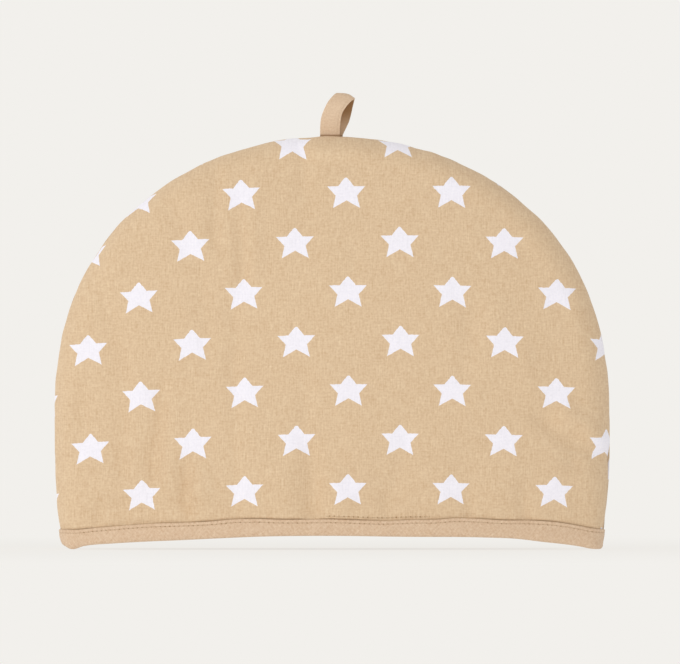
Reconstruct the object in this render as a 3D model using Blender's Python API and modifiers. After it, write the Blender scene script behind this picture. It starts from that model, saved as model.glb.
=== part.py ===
"""Tea cosy: two wadded cotton panels sewn together round a dome outline, opened at the hem.

Metres, +Z up. X runs along the seam, from side to side, and the seam lies in the plane y = 0.
The front panel faces -Y. The cosy stands on its bound hem, on z = 0: the two ends of the hem
lie flat, and between them the hem lifts in a shallow arch at the front and at the back.

Places on the cloth are given as (x, h), where h is the height above the hem line. The lift of
the arch is added at the end, and fades out up the panel.
"""

import functools
import math

import bmesh
import bpy
from mathutils import Vector

MM = 0.001

# ---------------------------------------------------------------- driving dimensions
# Dome outline of the sewn panels, in the plane of the seam.
DOME_HALF_WIDTH = 175.0 * MM
DOME_TOP = 260.0 * MM
WIDEST_HEIGHT = 80.0 * MM
DOME_POWER = 2.4
HEM_HALF_WIDTH = 169.0 * MM
HEM_TAPER_POWER = 2.6

# How the cloth stands open.
HEM_HALF_DEPTH = 46.0 * MM
OPENING_POWER = 0.8
OPENING_LEAN = 0.25
EDGE_ROLL = 9.0 * MM
HEM_PUFF = 2.6 * MM
HEM_PUFF_RISE = 22.0 * MM

# Wadded cloth.
PANEL_THICKNESS = 7.0 * MM
SEAM_THICKNESS = 3.0 * MM
HEM_THICKNESS = 4.5 * MM
SEAM_REACH = 16.0 * MM

# Hem line: flat where it rests, lifted between.
ARCH_RISE = 8.6 * MM
ARCH_HALF_SPAN = 157.0 * MM
ARCH_POWER = 3.2
ARCH_SOFTENING = 0.12
ARCH_FADE = 90.0 * MM

# Binding strip, folded over the raw hem. Its height differs round the cosy.
BINDING_THICKNESS = 1.3 * MM
BINDING_HEIGHT_MIDDLE = 11.8 * MM
BINDING_HEIGHT_LEFT = 12.6 * MM
BINDING_HEIGHT_RIGHT = 14.4 * MM
BINDING_CORNER = 1.6 * MM
BINDING_END_CORNER = 4.2 * MM
BINDING_END_START = 0.6
BINDING_TIP_INSET = 9.0 * MM
BINDING_OUTSIDE_EASE = 0.15 * MM
BINDING_INSIDE_EASE = 0.5 * MM
BINDING_FLOOR_EASE = 2.4 * MM

# Hanging loop: a folded tape, both ends caught in the seam at the top.
TAPE_WIDTH = 12.6 * MM
TAPE_THICKNESS = 1.0 * MM
LOOP_TOP = 287.6 * MM
LOOP_FOOT_DEPTH = 3.0 * MM
LOOP_HALF_OPENING = 5.6 * MM
LOOP_SLOT = 1.85 * MM
LOOP_SLOT_DEPTH = 18.0 * MM
LOOP_SLOT_EASE = 3.5 * MM
LOOP_FRONT_FOOT_X = -1.3 * MM
LOOP_BACK_FOOT_X = 6.4 * MM
LOOP_CROWN_X = 8.2 * MM
LOOP_CLIMB_POWER = 0.8
LOOP_SPREAD_POWER = 1.5
LOOP_LEAN_POWER = 3.0

# Clearances.
PIECE_GAP = 0.3 * MM
WELD = 0.02 * MM

# Mesh of the panels: rings in from the outline, then evenly on to the middle. The arch of the
# hem starts at the last edge ring.
EDGE_RINGS = (0.0, 0.6 * MM, 2.4 * MM, 6.0 * MM, HEM_HALF_WIDTH - ARCH_HALF_SPAN)
FIELD_RING_COUNT = 7
OUTLINE_CELLS = 51
MIDDLE_LINE_TOP = 185.0 * MM
SIDE_SAMPLES = 100
DOME_SAMPLES = 1200

LOOP_CELLS = 28

COTTON = (0.70, 0.51, 0.31, 1.0)
BINDING_COTTON = (0.66, 0.48, 0.31, 1.0)
TAPE_COTTON = (0.68, 0.50, 0.34, 1.0)


# ---------------------------------------------------------------- small helpers
def smooth_step(value):
    """Ease from 0 to 1 as value goes from 0 to 1, held outside that."""
    value = min(max(value, 0.0), 1.0)
    return value * value * (3.0 - 2.0 * value)


def blend(start, end, share):
    """Value at a share of the way from start to end."""
    return start + (end - start) * share


# ---------------------------------------------------------------- shape of the cosy
def half_width(height):
    """Half the width of the dome outline at a height above the hem line."""
    if height >= WIDEST_HEIGHT:
        rise = min((height - WIDEST_HEIGHT) / (DOME_TOP - WIDEST_HEIGHT), 1.0)
        return DOME_HALF_WIDTH * math.sqrt(1.0 - rise ** DOME_POWER)
    fall = (WIDEST_HEIGHT - height) / WIDEST_HEIGHT
    return DOME_HALF_WIDTH - (DOME_HALF_WIDTH - HEM_HALF_WIDTH) * fall ** HEM_TAPER_POWER


def arch_lift(x):
    """Lift of the hem line above the surface it stands on."""
    share = min(abs(x) / ARCH_HALF_SPAN, 1.0)
    full = 1.0 - share ** ARCH_POWER
    ease = smooth_step((1.0 - share) / ARCH_SOFTENING)
    return ARCH_RISE * full * ease


def lifted(x, y, height):
    """Point of the cosy from its place on the cloth, with the lift of the arch added."""
    fade = 1.0 - smooth_step(height / ARCH_FADE)
    return Vector((x, y, height + arch_lift(x) * fade))


def loop_slot(x, height):
    """Extra half gap of the seam where the ends of the loop are caught in it."""
    near_top = smooth_step((height - DOME_TOP + LOOP_SLOT_DEPTH) / (0.5 * LOOP_SLOT_DEPTH))
    centre = 0.5 * (LOOP_FRONT_FOOT_X + LOOP_BACK_FOOT_X)
    reach = 0.5 * (TAPE_WIDTH + LOOP_BACK_FOOT_X - LOOP_FRONT_FOOT_X) + LOOP_SLOT_EASE
    away = max(abs(x - centre) - reach, 0.0)
    return LOOP_SLOT * near_top * (1.0 - smooth_step(away / TAPE_WIDTH))


def seam_half_gap(x, height):
    """Half the gap between the two panels along their seam."""
    return 0.5 * PIECE_GAP + loop_slot(x, height)


def opening_depth(x, height):
    """How far the cloth stands out because it is open: most at the hem, none at the outline."""
    if height < WIDEST_HEIGHT:
        inside = 1.0 - (x / half_width(height)) ** 2
    else:
        rise = (height - WIDEST_HEIGHT) / (DOME_TOP - WIDEST_HEIGHT)
        inside = 1.0 - (x / DOME_HALF_WIDTH) ** 2 - rise ** DOME_POWER
    full = HEM_HALF_DEPTH - EDGE_ROLL
    return full * max(inside, 0.0) ** OPENING_POWER * (1.0 - OPENING_LEAN * height / DOME_TOP)


def edge_roll(distance):
    """Quarter round by which the cloth turns over at the seam."""
    share = 1.0 - min(max(distance / EDGE_ROLL, 0.0), 1.0)
    return EDGE_ROLL * math.sqrt(1.0 - share * share)


def hem_puff(height, distance):
    """Fullness of the wadding just above the binding, none where the binding holds it."""
    above = smooth_step((height - BINDING_HEIGHT_RIGHT) / HEM_PUFF_RISE)
    return HEM_PUFF * above * smooth_step(distance / SEAM_REACH)


def half_depth(x, height, distance):
    """Distance from the seam plane to the outer face of the cloth.

    distance is how far the place lies in from the outline.
    """
    return (
        seam_half_gap(x, height)
        + edge_roll(distance)
        + opening_depth(x, height)
        + hem_puff(height, distance)
    )


# ---------------------------------------------------------------- outline
def outline_path():
    """Dome outline from the left end of the hem to the right, as closely spaced (x, h)."""
    side = []
    for step in range(SIDE_SAMPLES):
        height = blend(hem_line_of_cloth(), WIDEST_HEIGHT, step / SIDE_SAMPLES)
        side.append((half_width(height), height))
    dome = []
    for step in range(DOME_SAMPLES + 1):
        angle = 0.5 * math.pi * step / DOME_SAMPLES
        rise = math.sin(angle) ** (2.0 / DOME_POWER)
        dome.append((
            DOME_HALF_WIDTH * math.cos(angle),
            WIDEST_HEIGHT + (DOME_TOP - WIDEST_HEIGHT) * rise,
        ))
    right = side + dome
    left = [(-x, height) for x, height in right]
    return left + right[-2::-1]


def hem_line_of_cloth():
    """Height above the hem line at which the wadded cloth ends inside the binding."""
    return BINDING_THICKNESS + PIECE_GAP + BINDING_FLOOR_EASE


def evenly_spaced(path, cells):
    """Points that divide a path into cells of equal length."""
    lengths = [0.0]
    for first, second in zip(path, path[1:]):
        lengths.append(lengths[-1] + math.dist(first, second))
    points = []
    index = 0
    for step in range(cells + 1):
        target = lengths[-1] * step / cells
        while index < len(path) - 2 and lengths[index + 1] < target:
            index += 1
        share = (target - lengths[index]) / (lengths[index + 1] - lengths[index])
        first, second = path[index], path[index + 1]
        points.append((blend(first[0], second[0], share), blend(first[1], second[1], share)))
    return points


def inward_normals(points):
    """Unit directions from each outline point to the inside; square to the hem at its ends."""
    normals = []
    last = len(points) - 1
    for index in range(last + 1):
        before = points[max(index - 1, 0)]
        after = points[min(index + 1, last)]
        run = math.dist(before, after)
        normals.append(((after[1] - before[1]) / run, (before[0] - after[0]) / run))
    normals[0] = (1.0, 0.0)
    normals[last] = (-1.0, 0.0)
    return normals


# ---------------------------------------------------------------- mesh tools
def moved_grid(columns, rows, place):
    """Open sheet: a plain grid whose corners are moved to place(column, row) and welded."""
    mesh = bmesh.new()
    bmesh.ops.create_grid(mesh, x_segments=columns, y_segments=rows, size=0.5)
    for vertex in mesh.verts:
        column = round((vertex.co.x + 0.5) * columns)
        row = round((vertex.co.y + 0.5) * rows)
        vertex.co = place(column, row)
    bmesh.ops.remove_doubles(mesh, verts=mesh.verts, dist=WELD)
    bmesh.ops.dissolve_degenerate(mesh, edges=mesh.edges, dist=WELD)
    return mesh


def add_object(name, mesh_data, collection, material):
    """Put a mesh in the cosy's collection under its own name and material."""
    thing = bpy.data.objects.new(name, mesh_data)
    collection.objects.link(thing)
    mesh_data.materials.append(material)
    mesh_data.shade_smooth()
    mesh_data.set_sharp_from_angle(angle=math.radians(50.0))
    return thing


def thickened(name, sheet, thickness, collection, material, weight=None):
    """Give an open sheet its thickness, inwards; weight(point) scales it from place to place."""
    data = bpy.data.meshes.new(name)
    sheet.to_mesh(data)
    sheet.free()
    thing = add_object(name, data, collection, material)
    solidify = thing.modifiers.new("thickness", "SOLIDIFY")
    solidify.thickness = thickness
    solidify.offset = -1.0
    solidify.use_even_offset = True
    solidify.use_rim = True
    if weight is not None:
        group = thing.vertex_groups.new(name="thickness")
        for vertex in data.vertices:
            group.add([vertex.index], weight(vertex.co), "REPLACE")
        solidify.vertex_group = group.name
    return thing


def applied(thing):
    """Replace an object's mesh by the one its modifiers make."""
    graph = bpy.context.evaluated_depsgraph_get()
    finished = bpy.data.meshes.new_from_object(thing.evaluated_get(graph))
    thing.modifiers.clear()
    thing.data = finished
    return finished


def plain_material(name, colour, roughness):
    """Plain material of one colour."""
    material = bpy.data.materials.new(name)
    material.use_nodes = True
    shader = material.node_tree.nodes["Principled BSDF"]
    shader.inputs["Base Color"].default_value = colour
    shader.inputs["Roughness"].default_value = roughness
    shader.inputs["Metallic"].default_value = 0.0
    material.diffuse_color = colour
    return material


# ---------------------------------------------------------------- the pieces
def cloth_thickness_share(distance, height):
    """Thickness of the wadded cloth as a share of its full thickness."""
    near_seam = blend(SEAM_THICKNESS, PANEL_THICKNESS, smooth_step(distance / SEAM_REACH))
    near_hem = blend(
        HEM_THICKNESS,
        PANEL_THICKNESS,
        smooth_step((height - BINDING_HEIGHT_RIGHT) / HEM_PUFF_RISE),
    )
    return min(near_seam, near_hem) / PANEL_THICKNESS


@functools.lru_cache(maxsize=None)
def panel_places():
    """Grid of (x, h, distance in from the outline), in rings from the outline to the middle."""
    outline = evenly_spaced(outline_path(), OUTLINE_CELLS)
    normals = inward_normals(outline)
    low = hem_line_of_cloth()
    rings = []
    for distance in EDGE_RINGS:
        rings.append([
            (x + nx * distance, height + nh * distance, distance)
            for (x, height), (nx, nh) in zip(outline, normals)
        ])
    inner_edge = rings[-1]
    half = OUTLINE_CELLS / 2.0
    for count in range(1, FIELD_RING_COUNT + 1):
        share = count / FIELD_RING_COUNT
        ring = []
        for index, (x, height, distance) in enumerate(inner_edge):
            climb = min(1.0 - abs(index - half) / half + 1.0 / OUTLINE_CELLS, 1.0)
            climb = 0.0 if index in (0, OUTLINE_CELLS) else climb
            middle = blend(low, MIDDLE_LINE_TOP, climb)
            ring.append((
                blend(x, 0.0, share),
                blend(height, middle, share),
                distance + share * math.dist((x, height), (0.0, middle)),
            ))
        rings.append(ring)
    return rings


def build_panel(name, side, collection, material):
    """One wadded panel; side is -1 for the front and 1 for the back."""
    rings = panel_places()

    def place(column, row):
        x, height, distance = rings[row][column]
        return lifted(x, side * half_depth(x, height, distance), height)

    sheet = moved_grid(OUTLINE_CELLS, len(rings) - 1, place)
    turn_outwards(sheet, side)
    outline = evenly_spaced(outline_path(), OUTLINE_CELLS * 4)

    def weight(point):
        distance = min(math.dist((point.x, point.z), near) for near in outline)
        return cloth_thickness_share(distance, point.z - arch_lift(point.x))

    panel = thickened(name, sheet, PANEL_THICKNESS, collection, material, weight)
    for vertex in applied(panel).vertices:
        edge = seam_half_gap(vertex.co.x, vertex.co.z)
        vertex.co.y = side * max(side * vertex.co.y, edge)
    return panel


def turn_outwards(sheet, side):
    """Turn the faces of an open panel to the side that it faces."""
    sheet.normal_update()
    facing = sum(face.normal.y * face.calc_area() for face in sheet.faces)
    if facing * side < 0.0:
        bmesh.ops.reverse_faces(sheet, faces=sheet.faces)


def binding_height(x):
    """Height of the binding, taller at the two ends of the cosy."""
    start = BINDING_END_START * HEM_HALF_WIDTH
    share = smooth_step((abs(x) - start) / (HEM_HALF_WIDTH - start))
    end = BINDING_HEIGHT_RIGHT if x > 0.0 else BINDING_HEIGHT_LEFT
    return blend(BINDING_HEIGHT_MIDDLE, end, share)


def hem_plan(height):
    """Plan of one panel's outer face along the hem, from the right seam to the left.

    Each row is (x, depth) from the seam plane; the places are those of the panel's own rings.
    """
    rings = panel_places()
    row = [ring[-1] for ring in rings] + [ring[0] for ring in reversed(rings[:-1])]
    scale = half_width(height) / half_width(hem_line_of_cloth())
    return [(x * scale, half_depth(x * scale, height, distance)) for x, _, distance in row]


def moved_in(plan, distance):
    """Plan moved in square to itself; out where the distance is negative."""
    moved = []
    last = len(plan) - 1
    for index, (x, depth) in enumerate(plan):
        if index in (0, last):
            moved.append((x - distance * math.copysign(1.0, x), 0.0))
            continue
        back = math.dist(plan[index - 1], plan[index])
        ahead = math.dist(plan[index], plan[index + 1])
        first = ((plan[index - 1][1] - depth) / back, (x - plan[index - 1][0]) / back)
        second = ((depth - plan[index + 1][1]) / ahead, (plan[index + 1][0] - x) / ahead)
        normal = Vector((first[0] + second[0], first[1] + second[1])).normalized()
        mitre = distance / max(normal.dot(Vector(first)), 0.5)
        moved.append((x + normal.x * mitre, depth + normal.y * mitre))
    return moved


def binding_outer_plan(height):
    """Plan of the binding's outer face, just clear of the panel."""
    outset = PIECE_GAP + BINDING_OUTSIDE_EASE + BINDING_THICKNESS
    return moved_in(hem_plan(height), -outset)


def binding_inner_plan(height):
    """Plan of the binding's inner face, which turns short of the seam."""
    plan = hem_plan(height)
    inset = HEM_THICKNESS + BINDING_INSIDE_EASE + BINDING_THICKNESS
    inner = moved_in(plan, inset)
    turn = len(EDGE_RINGS) - 1
    tip = half_width(height) - BINDING_TIP_INSET - BINDING_THICKNESS
    for end, step in ((0, 1), (len(plan) - 1, -1)):
        last_x, last_depth = inner[end + step * turn]
        tip_x = math.copysign(tip, last_x)
        for count in range(turn):
            share = count / turn
            inner[end + step * count] = (blend(tip_x, last_x, share ** 3), last_depth * share)
    return inner


def binding_profile(x, width):
    """Profile of the binding from its outer top edge to its inner top edge.

    Each row is the share of the way across its width, from the outer to the inner face, and the
    height. The outer lower corner is rounder at the two ends of the cosy.
    """
    top = binding_height(x)
    near_end = smooth_step((abs(x) - ARCH_HALF_SPAN) / (HEM_HALF_WIDTH - ARCH_HALF_SPAN))
    outer = blend(BINDING_CORNER, BINDING_END_CORNER, near_end)
    inner = BINDING_CORNER
    middle_of_round = 1.0 - math.sqrt(0.5)
    return (
        (0.0, top),
        (0.0, 0.5 * (top + outer)),
        (0.0, outer),
        (middle_of_round * outer / width, middle_of_round * outer),
        (outer / width, 0.0),
        (1.0 - inner / width, 0.0),
        (1.0, inner),
        (1.0, top),
    )


def build_binding(collection, material):
    """Strip folded over the hem, all the way round the cosy."""
    outer_edge, inner_edge = binding_outer_plan(0.0), binding_inner_plan(0.0)
    side_cells = len(outer_edge) - 1
    profiles = [
        binding_profile(outer[0], math.dist(outer, inner))
        for outer, inner in zip(outer_edge, inner_edge)
    ]
    rows = len(profiles[0]) - 1

    def place(column, row):
        front = column <= side_cells
        station = column if front else 2 * side_cells - column
        share, height = profiles[station][row]
        outer_x, outer_depth = binding_outer_plan(height)[station]
        inner_x, inner_depth = binding_inner_plan(height)[station]
        depth = blend(outer_depth, inner_depth, share)
        return lifted(blend(outer_x, inner_x, share), -depth if front else depth, height)

    sheet = moved_grid(2 * side_cells, rows, place)
    return thickened("hem_binding", sheet, BINDING_THICKNESS, collection, material)


def loop_path(share):
    """Middle line of the tape: share runs from -1 at the front foot to 1 at the back foot."""
    foot = DOME_TOP - LOOP_FOOT_DEPTH
    rise = LOOP_TOP - 0.5 * TAPE_THICKNESS - foot
    climb = max(math.cos(0.5 * math.pi * share), 0.0) ** LOOP_CLIMB_POWER
    foot_depth = 0.8 * TAPE_THICKNESS
    spread = LOOP_HALF_OPENING - foot_depth
    depth = spread * abs(math.sin(math.pi * share)) ** LOOP_SPREAD_POWER
    depth = math.copysign(depth + foot_depth * (1.0 - climb ** 4), share)
    foot_x = LOOP_FRONT_FOOT_X if share < 0.0 else LOOP_BACK_FOOT_X
    x = blend(foot_x, LOOP_CROWN_X, climb ** LOOP_LEAN_POWER)
    return x, depth, foot + rise * climb


def build_loop(collection, material):
    """Folded tape loop."""

    def place(column, row):
        x, y, z = loop_path(2.0 * row / LOOP_CELLS - 1.0)
        return Vector((x + (column / 2 - 0.5) * TAPE_WIDTH, y, z))

    sheet = moved_grid(2, LOOP_CELLS, place)
    loop = thickened("hanging_loop", sheet, TAPE_THICKNESS, collection, material)
    loop.modifiers["thickness"].offset = 0.0
    return loop


def clear_scene():
    """Remove what the file opens with."""
    for thing in list(bpy.data.objects):
        bpy.data.objects.remove(thing, do_unlink=True)


def main():
    """Build the cosy."""
    clear_scene()
    cosy = bpy.data.collections.new("tea_cosy")
    bpy.context.scene.collection.children.link(cosy)
    print_cotton = plain_material("printed_cotton", COTTON, 0.9)
    binding_cotton = plain_material("binding_cotton", BINDING_COTTON, 0.88)
    tape = plain_material("tape_cotton", TAPE_COTTON, 0.85)
    build_panel("front_panel", -1.0, cosy, print_cotton)
    build_panel("back_panel", 1.0, cosy, print_cotton)
    build_binding(cosy, binding_cotton)
    build_loop(cosy, tape)


main()
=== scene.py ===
"""Padded tea cosy with a star print: its cloth, hem binding, hanging loop, stitching and studio.

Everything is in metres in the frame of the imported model: +Z up, the front facing -Y, the hem on
z = 0. Places on the cloth are (x, h): x from side to side, h above the hem line. Short tables of
places are in millimetres, as a maker would note them.
"""

import logging
import math
from collections.abc import Callable, Iterator, Sequence
from contextlib import contextmanager
from dataclasses import dataclass
from enum import Enum
from typing import Any

import bpy
import numpy as np
from mathutils import Matrix, Vector

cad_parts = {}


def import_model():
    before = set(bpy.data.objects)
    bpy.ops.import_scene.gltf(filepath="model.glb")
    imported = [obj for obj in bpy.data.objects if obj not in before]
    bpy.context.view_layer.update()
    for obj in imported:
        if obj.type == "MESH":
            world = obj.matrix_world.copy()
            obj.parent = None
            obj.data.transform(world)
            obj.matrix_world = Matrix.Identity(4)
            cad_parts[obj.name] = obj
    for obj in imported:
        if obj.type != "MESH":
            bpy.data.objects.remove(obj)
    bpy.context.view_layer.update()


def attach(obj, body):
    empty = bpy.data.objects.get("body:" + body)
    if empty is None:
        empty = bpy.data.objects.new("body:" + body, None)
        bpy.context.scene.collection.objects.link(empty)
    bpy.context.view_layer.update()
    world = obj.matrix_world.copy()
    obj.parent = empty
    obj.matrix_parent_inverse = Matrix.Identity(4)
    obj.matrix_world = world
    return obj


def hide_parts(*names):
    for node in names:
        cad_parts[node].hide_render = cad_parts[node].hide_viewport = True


Array = np.ndarray
Piece = bpy.types.Object
Material = bpy.types.Material
Colour = tuple[float, float, float]
Place = tuple[float, float]
Point = tuple[float, float, float]

LOG = logging.getLogger("tea_cosy")
BODY = "root"
MM = 0.001
PER_METRE = 1000.0
# Creases sharper than this stay sharp in the shading of a piece.
SMOOTH_ANGLE = math.radians(60.0)
# A point inside the cosy, which its faces are turned away from.
HOLLOW: Point = (0.0, 0.0, 0.08)


class Side(Enum):
    """Which way a panel of the cosy faces along Y."""

    FRONT = -1.0
    BACK = 1.0


# ---- small sums
def smooth_step(value: Any) -> Any:
    """Ease from 0 to 1 as value goes from 0 to 1, held outside that."""
    value = np.clip(value, 0.0, 1.0)
    return value * value * (3.0 - 2.0 * value)


def ease(value: Any, start: float, reach: float) -> Any:
    """Ease from 0 to 1 as a value in metres passes a reach from a start in millimetres."""
    return smooth_step((value - start * MM) / (reach * MM))


def blend(start: Any, end: Any, share: Any) -> Any:
    """Value at a share of the way from start to end."""
    return start + (end - start) * share


def bell(distance: Any, width: float, middle: float = 0.0) -> Any:
    """Bell curve of a distance in metres: 1 at its middle, its width in millimetres too."""
    return np.exp(-0.5 * np.square((distance - middle * MM) / (width * MM)))


def fading(distance: Any, reach: float) -> Any:
    """1 at no distance in metres, dying away over a reach in millimetres."""
    return np.exp(-distance / (reach * MM))


def path_lengths(path: Array) -> Array:
    """Length of a path up to each of its points; each further axis is a path of its own."""
    steps = np.linalg.norm(np.diff(path, axis=0), axis=-1)
    return np.concatenate([0.0 * steps[:1], np.cumsum(steps, axis=0)])


def points_at(wanted: Any, lengths: Array, path: Array) -> Array:
    """Points of a path at the wanted lengths from its start."""
    return np.stack([np.interp(wanted, lengths, part) for part in path.T], axis=-1)


def soft_noise(across: Any, along: Any, seed: int) -> Array:
    """Smooth noise from -1 to 1.

    Args:
        across: First coordinate, in cells of the noise.
        along: Second coordinate, in cells of the noise.
        seed: Seed of its table, so each use is different and repeatable.

    Returns:
        The noise at each place.
    """
    size = 64
    table = np.random.default_rng(seed).uniform(-1.0, 1.0, (size, size))
    across, along = np.broadcast_arrays(across, along)
    column, row = np.floor(across).astype(int), np.floor(along).astype(int)
    share_x, share_y = smooth_step(across - column), smooth_step(along - row)
    corners = [table[(column + dx) % size, (row + dy) % size] for dy in (0, 1) for dx in (0, 1)]
    low = blend(corners[0], corners[1], share_x)
    high = blend(corners[2], corners[3], share_x)
    return blend(low, high, share_y)


@dataclass(frozen=True)
class Ripple:
    """Soft unevenness of cloth: its rise, and its size across and along, in millimetres."""

    rise: float
    across: float
    along: float

    def height(self, x: Any, z: Any, seed: int) -> Array:
        """Its height in metres at places in metres."""
        noise = soft_noise(x / (self.across * MM), z / (self.along * MM), seed)
        return self.rise * MM * noise


def read_table(table: Sequence[Place], x: Any) -> Array:
    """Height in metres at x, read smoothly from a table of places in millimetres.

    Args:
        table: Places in millimetres, in order of x.
        x: Where to read it, in metres.

    Returns:
        The heights.
    """
    places = np.array(table) * MM
    slopes = np.gradient(places[:, 1], places[:, 0])
    index = np.clip(np.searchsorted(places[:, 0], x) - 1, 0, len(places) - 2)
    start, end = places[index], places[index + 1]
    run = end[..., 0] - start[..., 0]
    share = np.clip((x - start[..., 0]) / run, 0.0, 1.0)
    square, cube = share**2, share**3
    return (
        (2 * cube - 3 * square + 1) * start[..., 1]
        + (cube - 2 * square + share) * run * slopes[index]
        + (3 * square - 2 * cube) * end[..., 1]
        + (cube - square) * run * slopes[index + 1]
    )


# ---- mesh bench
@contextmanager
def edit_mode(piece: Piece) -> Iterator[None]:
    """Work on one piece in edit mode, with all of it selected.

    Args:
        piece: The piece to work on.
    """
    pick(piece)
    bpy.ops.object.mode_set(mode="EDIT")
    bpy.ops.mesh.select_all(action="SELECT")
    try:
        yield
    finally:
        bpy.ops.object.mode_set(mode="OBJECT")


def pick(piece: Piece) -> None:
    """Select one piece and nothing else, and make it the active one.

    Args:
        piece: The piece to select.
    """
    bpy.ops.object.select_all(action="DESELECT")
    piece.select_set(True)
    bpy.context.view_layer.objects.active = piece


def coordinates(piece: Piece) -> Array:
    """Places of a piece's vertices, one row each.

    Args:
        piece: The piece to read.

    Returns:
        The places.
    """
    places = np.empty(len(piece.data.vertices) * 3)
    piece.data.vertices.foreach_get("co", places)
    return places.reshape(-1, 3)


def move_to(piece: Piece, places: Array) -> None:
    """Move a piece's vertices to these places."""
    piece.data.vertices.foreach_set("co", places.reshape(-1))
    piece.data.update()


def write_attribute(piece: Piece, name: str, values: Array) -> None:
    """Keep a number or a vector for each vertex of a piece, for its material or for later.

    Args:
        piece: The piece to mark.
        name: Name that they are kept under.
        values: A row for each vertex.
    """
    kind, part = ("FLOAT_VECTOR", "vector") if values.ndim == 2 else ("FLOAT", "value")
    attributes = piece.data.attributes
    if name in attributes:
        attributes.remove(attributes[name])
    layer = attributes.new(name, kind, "POINT")
    layer.data.foreach_set(part, np.ascontiguousarray(values, np.float32).reshape(-1))


def read_attribute(piece: Piece, name: str) -> Array:
    """Numbers or vectors kept by write_attribute, a row for each vertex.

    Args:
        piece: The piece to read.
        name: Name that they are kept under.

    Returns:
        The rows.
    """
    layer = piece.data.attributes[name]
    width, part = (3, "vector") if layer.data_type == "FLOAT_VECTOR" else (1, "value")
    values = np.empty(len(layer.data) * width, np.float32)
    layer.data.foreach_get(part, values)
    return values.reshape(-1, 3) if width == 3 else values


def grid_numbers(piece: Piece) -> Array:
    """Number of each vertex's place in the grid that sheet_from_grid was given."""
    return np.rint(read_attribute(piece, "place")).astype(int)


def add_shape(add: Callable[..., Any], name: str, **sizes: Any) -> Piece:
    """Add one of Blender's own shapes, with nothing else selected.

    Args:
        add: Operator that adds the shape.
        name: Name of the piece.
        **sizes: Settings of the operator.

    Returns:
        The new piece.
    """
    bpy.ops.object.select_all(action="DESELECT")
    add(**sizes)
    piece = bpy.context.object
    piece.name = piece.data.name = name
    return piece


def sheet_from_grid(name: str, places: Array, weld: float) -> Piece:
    """Open sheet from a grid of places.

    The number of each place in the grid is kept in the attribute "place".

    Args:
        name: Name of the piece.
        places: Grid of places, rows by columns by three.
        weld: Places nearer than this become one.

    Returns:
        The sheet, active and selected.
    """
    rows, columns = places.shape[0] - 1, places.shape[1] - 1
    grid = bpy.ops.mesh.primitive_grid_add
    piece = add_shape(grid, name, x_subdivisions=columns, y_subdivisions=rows, size=1.0)
    flat = coordinates(piece) + 0.5
    column = np.rint(flat[:, 0] * columns).astype(int)
    row = np.rint(flat[:, 1] * rows).astype(int)
    move_to(piece, places[row, column])
    write_attribute(piece, "place", (row * (columns + 1) + column).astype(float))
    with edit_mode(piece):
        bpy.ops.mesh.remove_doubles(threshold=weld)
    return piece


def face_outwards(piece: Piece, inside: Point) -> None:
    """Turn an open sheet's faces away from a point inside it.

    Args:
        piece: The sheet.
        inside: The point.
    """
    middle = Vector(inside)
    faces = piece.data.polygons
    if sum(face.area * face.normal.dot(face.center - middle) for face in faces) < 0.0:
        with edit_mode(piece):
            bpy.ops.mesh.flip_normals()


def apply_all(piece: Piece) -> None:
    """Apply every modifier of a piece.

    Args:
        piece: The piece to finish.
    """
    pick(piece)
    for modifier in list(piece.modifiers):
        bpy.ops.object.modifier_apply(modifier=modifier.name)


def thicken(piece: Piece, thickness: float, shares: Array | None = None) -> None:
    """Give an open sheet its thickness, inwards, with the rim closed.

    Its own vertices stay outside and keep their numbers; the inner ones follow in the same order.

    Args:
        piece: The sheet.
        thickness: Full thickness.
        shares: Share of the full thickness at each vertex, or None for the same all over.
    """
    solid = piece.modifiers.new("thickness", "SOLIDIFY")
    solid.thickness = thickness
    solid.offset = -1.0
    solid.use_even_offset = True
    solid.use_rim = True
    if shares is not None:
        group = piece.vertex_groups.new(name="thickness")
        for index, share in enumerate(shares):
            group.add([index], float(share), "REPLACE")
        solid.vertex_group = group.name
    apply_all(piece)
    piece.vertex_groups.clear()


def two_faces(piece: Piece) -> tuple[Array, Array]:
    """Places of a thickened sheet's outer vertices, and of the inner ones under them."""
    outer, inner = np.split(coordinates(piece), 2)
    return outer, inner


def finish_piece(
    piece: Piece, finish: "CottonFinish | ThreadFinish", nodes: Sequence[str] = ()
) -> None:
    """Dress a piece, let it ride on the cosy and report it.

    Args:
        piece: The finished mesh, in place.
        finish: Its finish, whose material is made the first time that it is used.
        nodes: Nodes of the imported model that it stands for.
    """
    attributes = piece.data.attributes
    if "place" in attributes:
        attributes.remove(attributes["place"])
    piece.data.materials.clear()
    piece.data.materials.append(bpy.data.materials.get(finish.name) or finish.material())
    pick(piece)
    bpy.ops.object.shade_smooth_by_angle(angle=SMOOTH_ANGLE)
    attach(piece, BODY)
    if nodes:
        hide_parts(*nodes)
    LOG.info("%s: %d faces", piece.name, len(piece.data.polygons))


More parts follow.
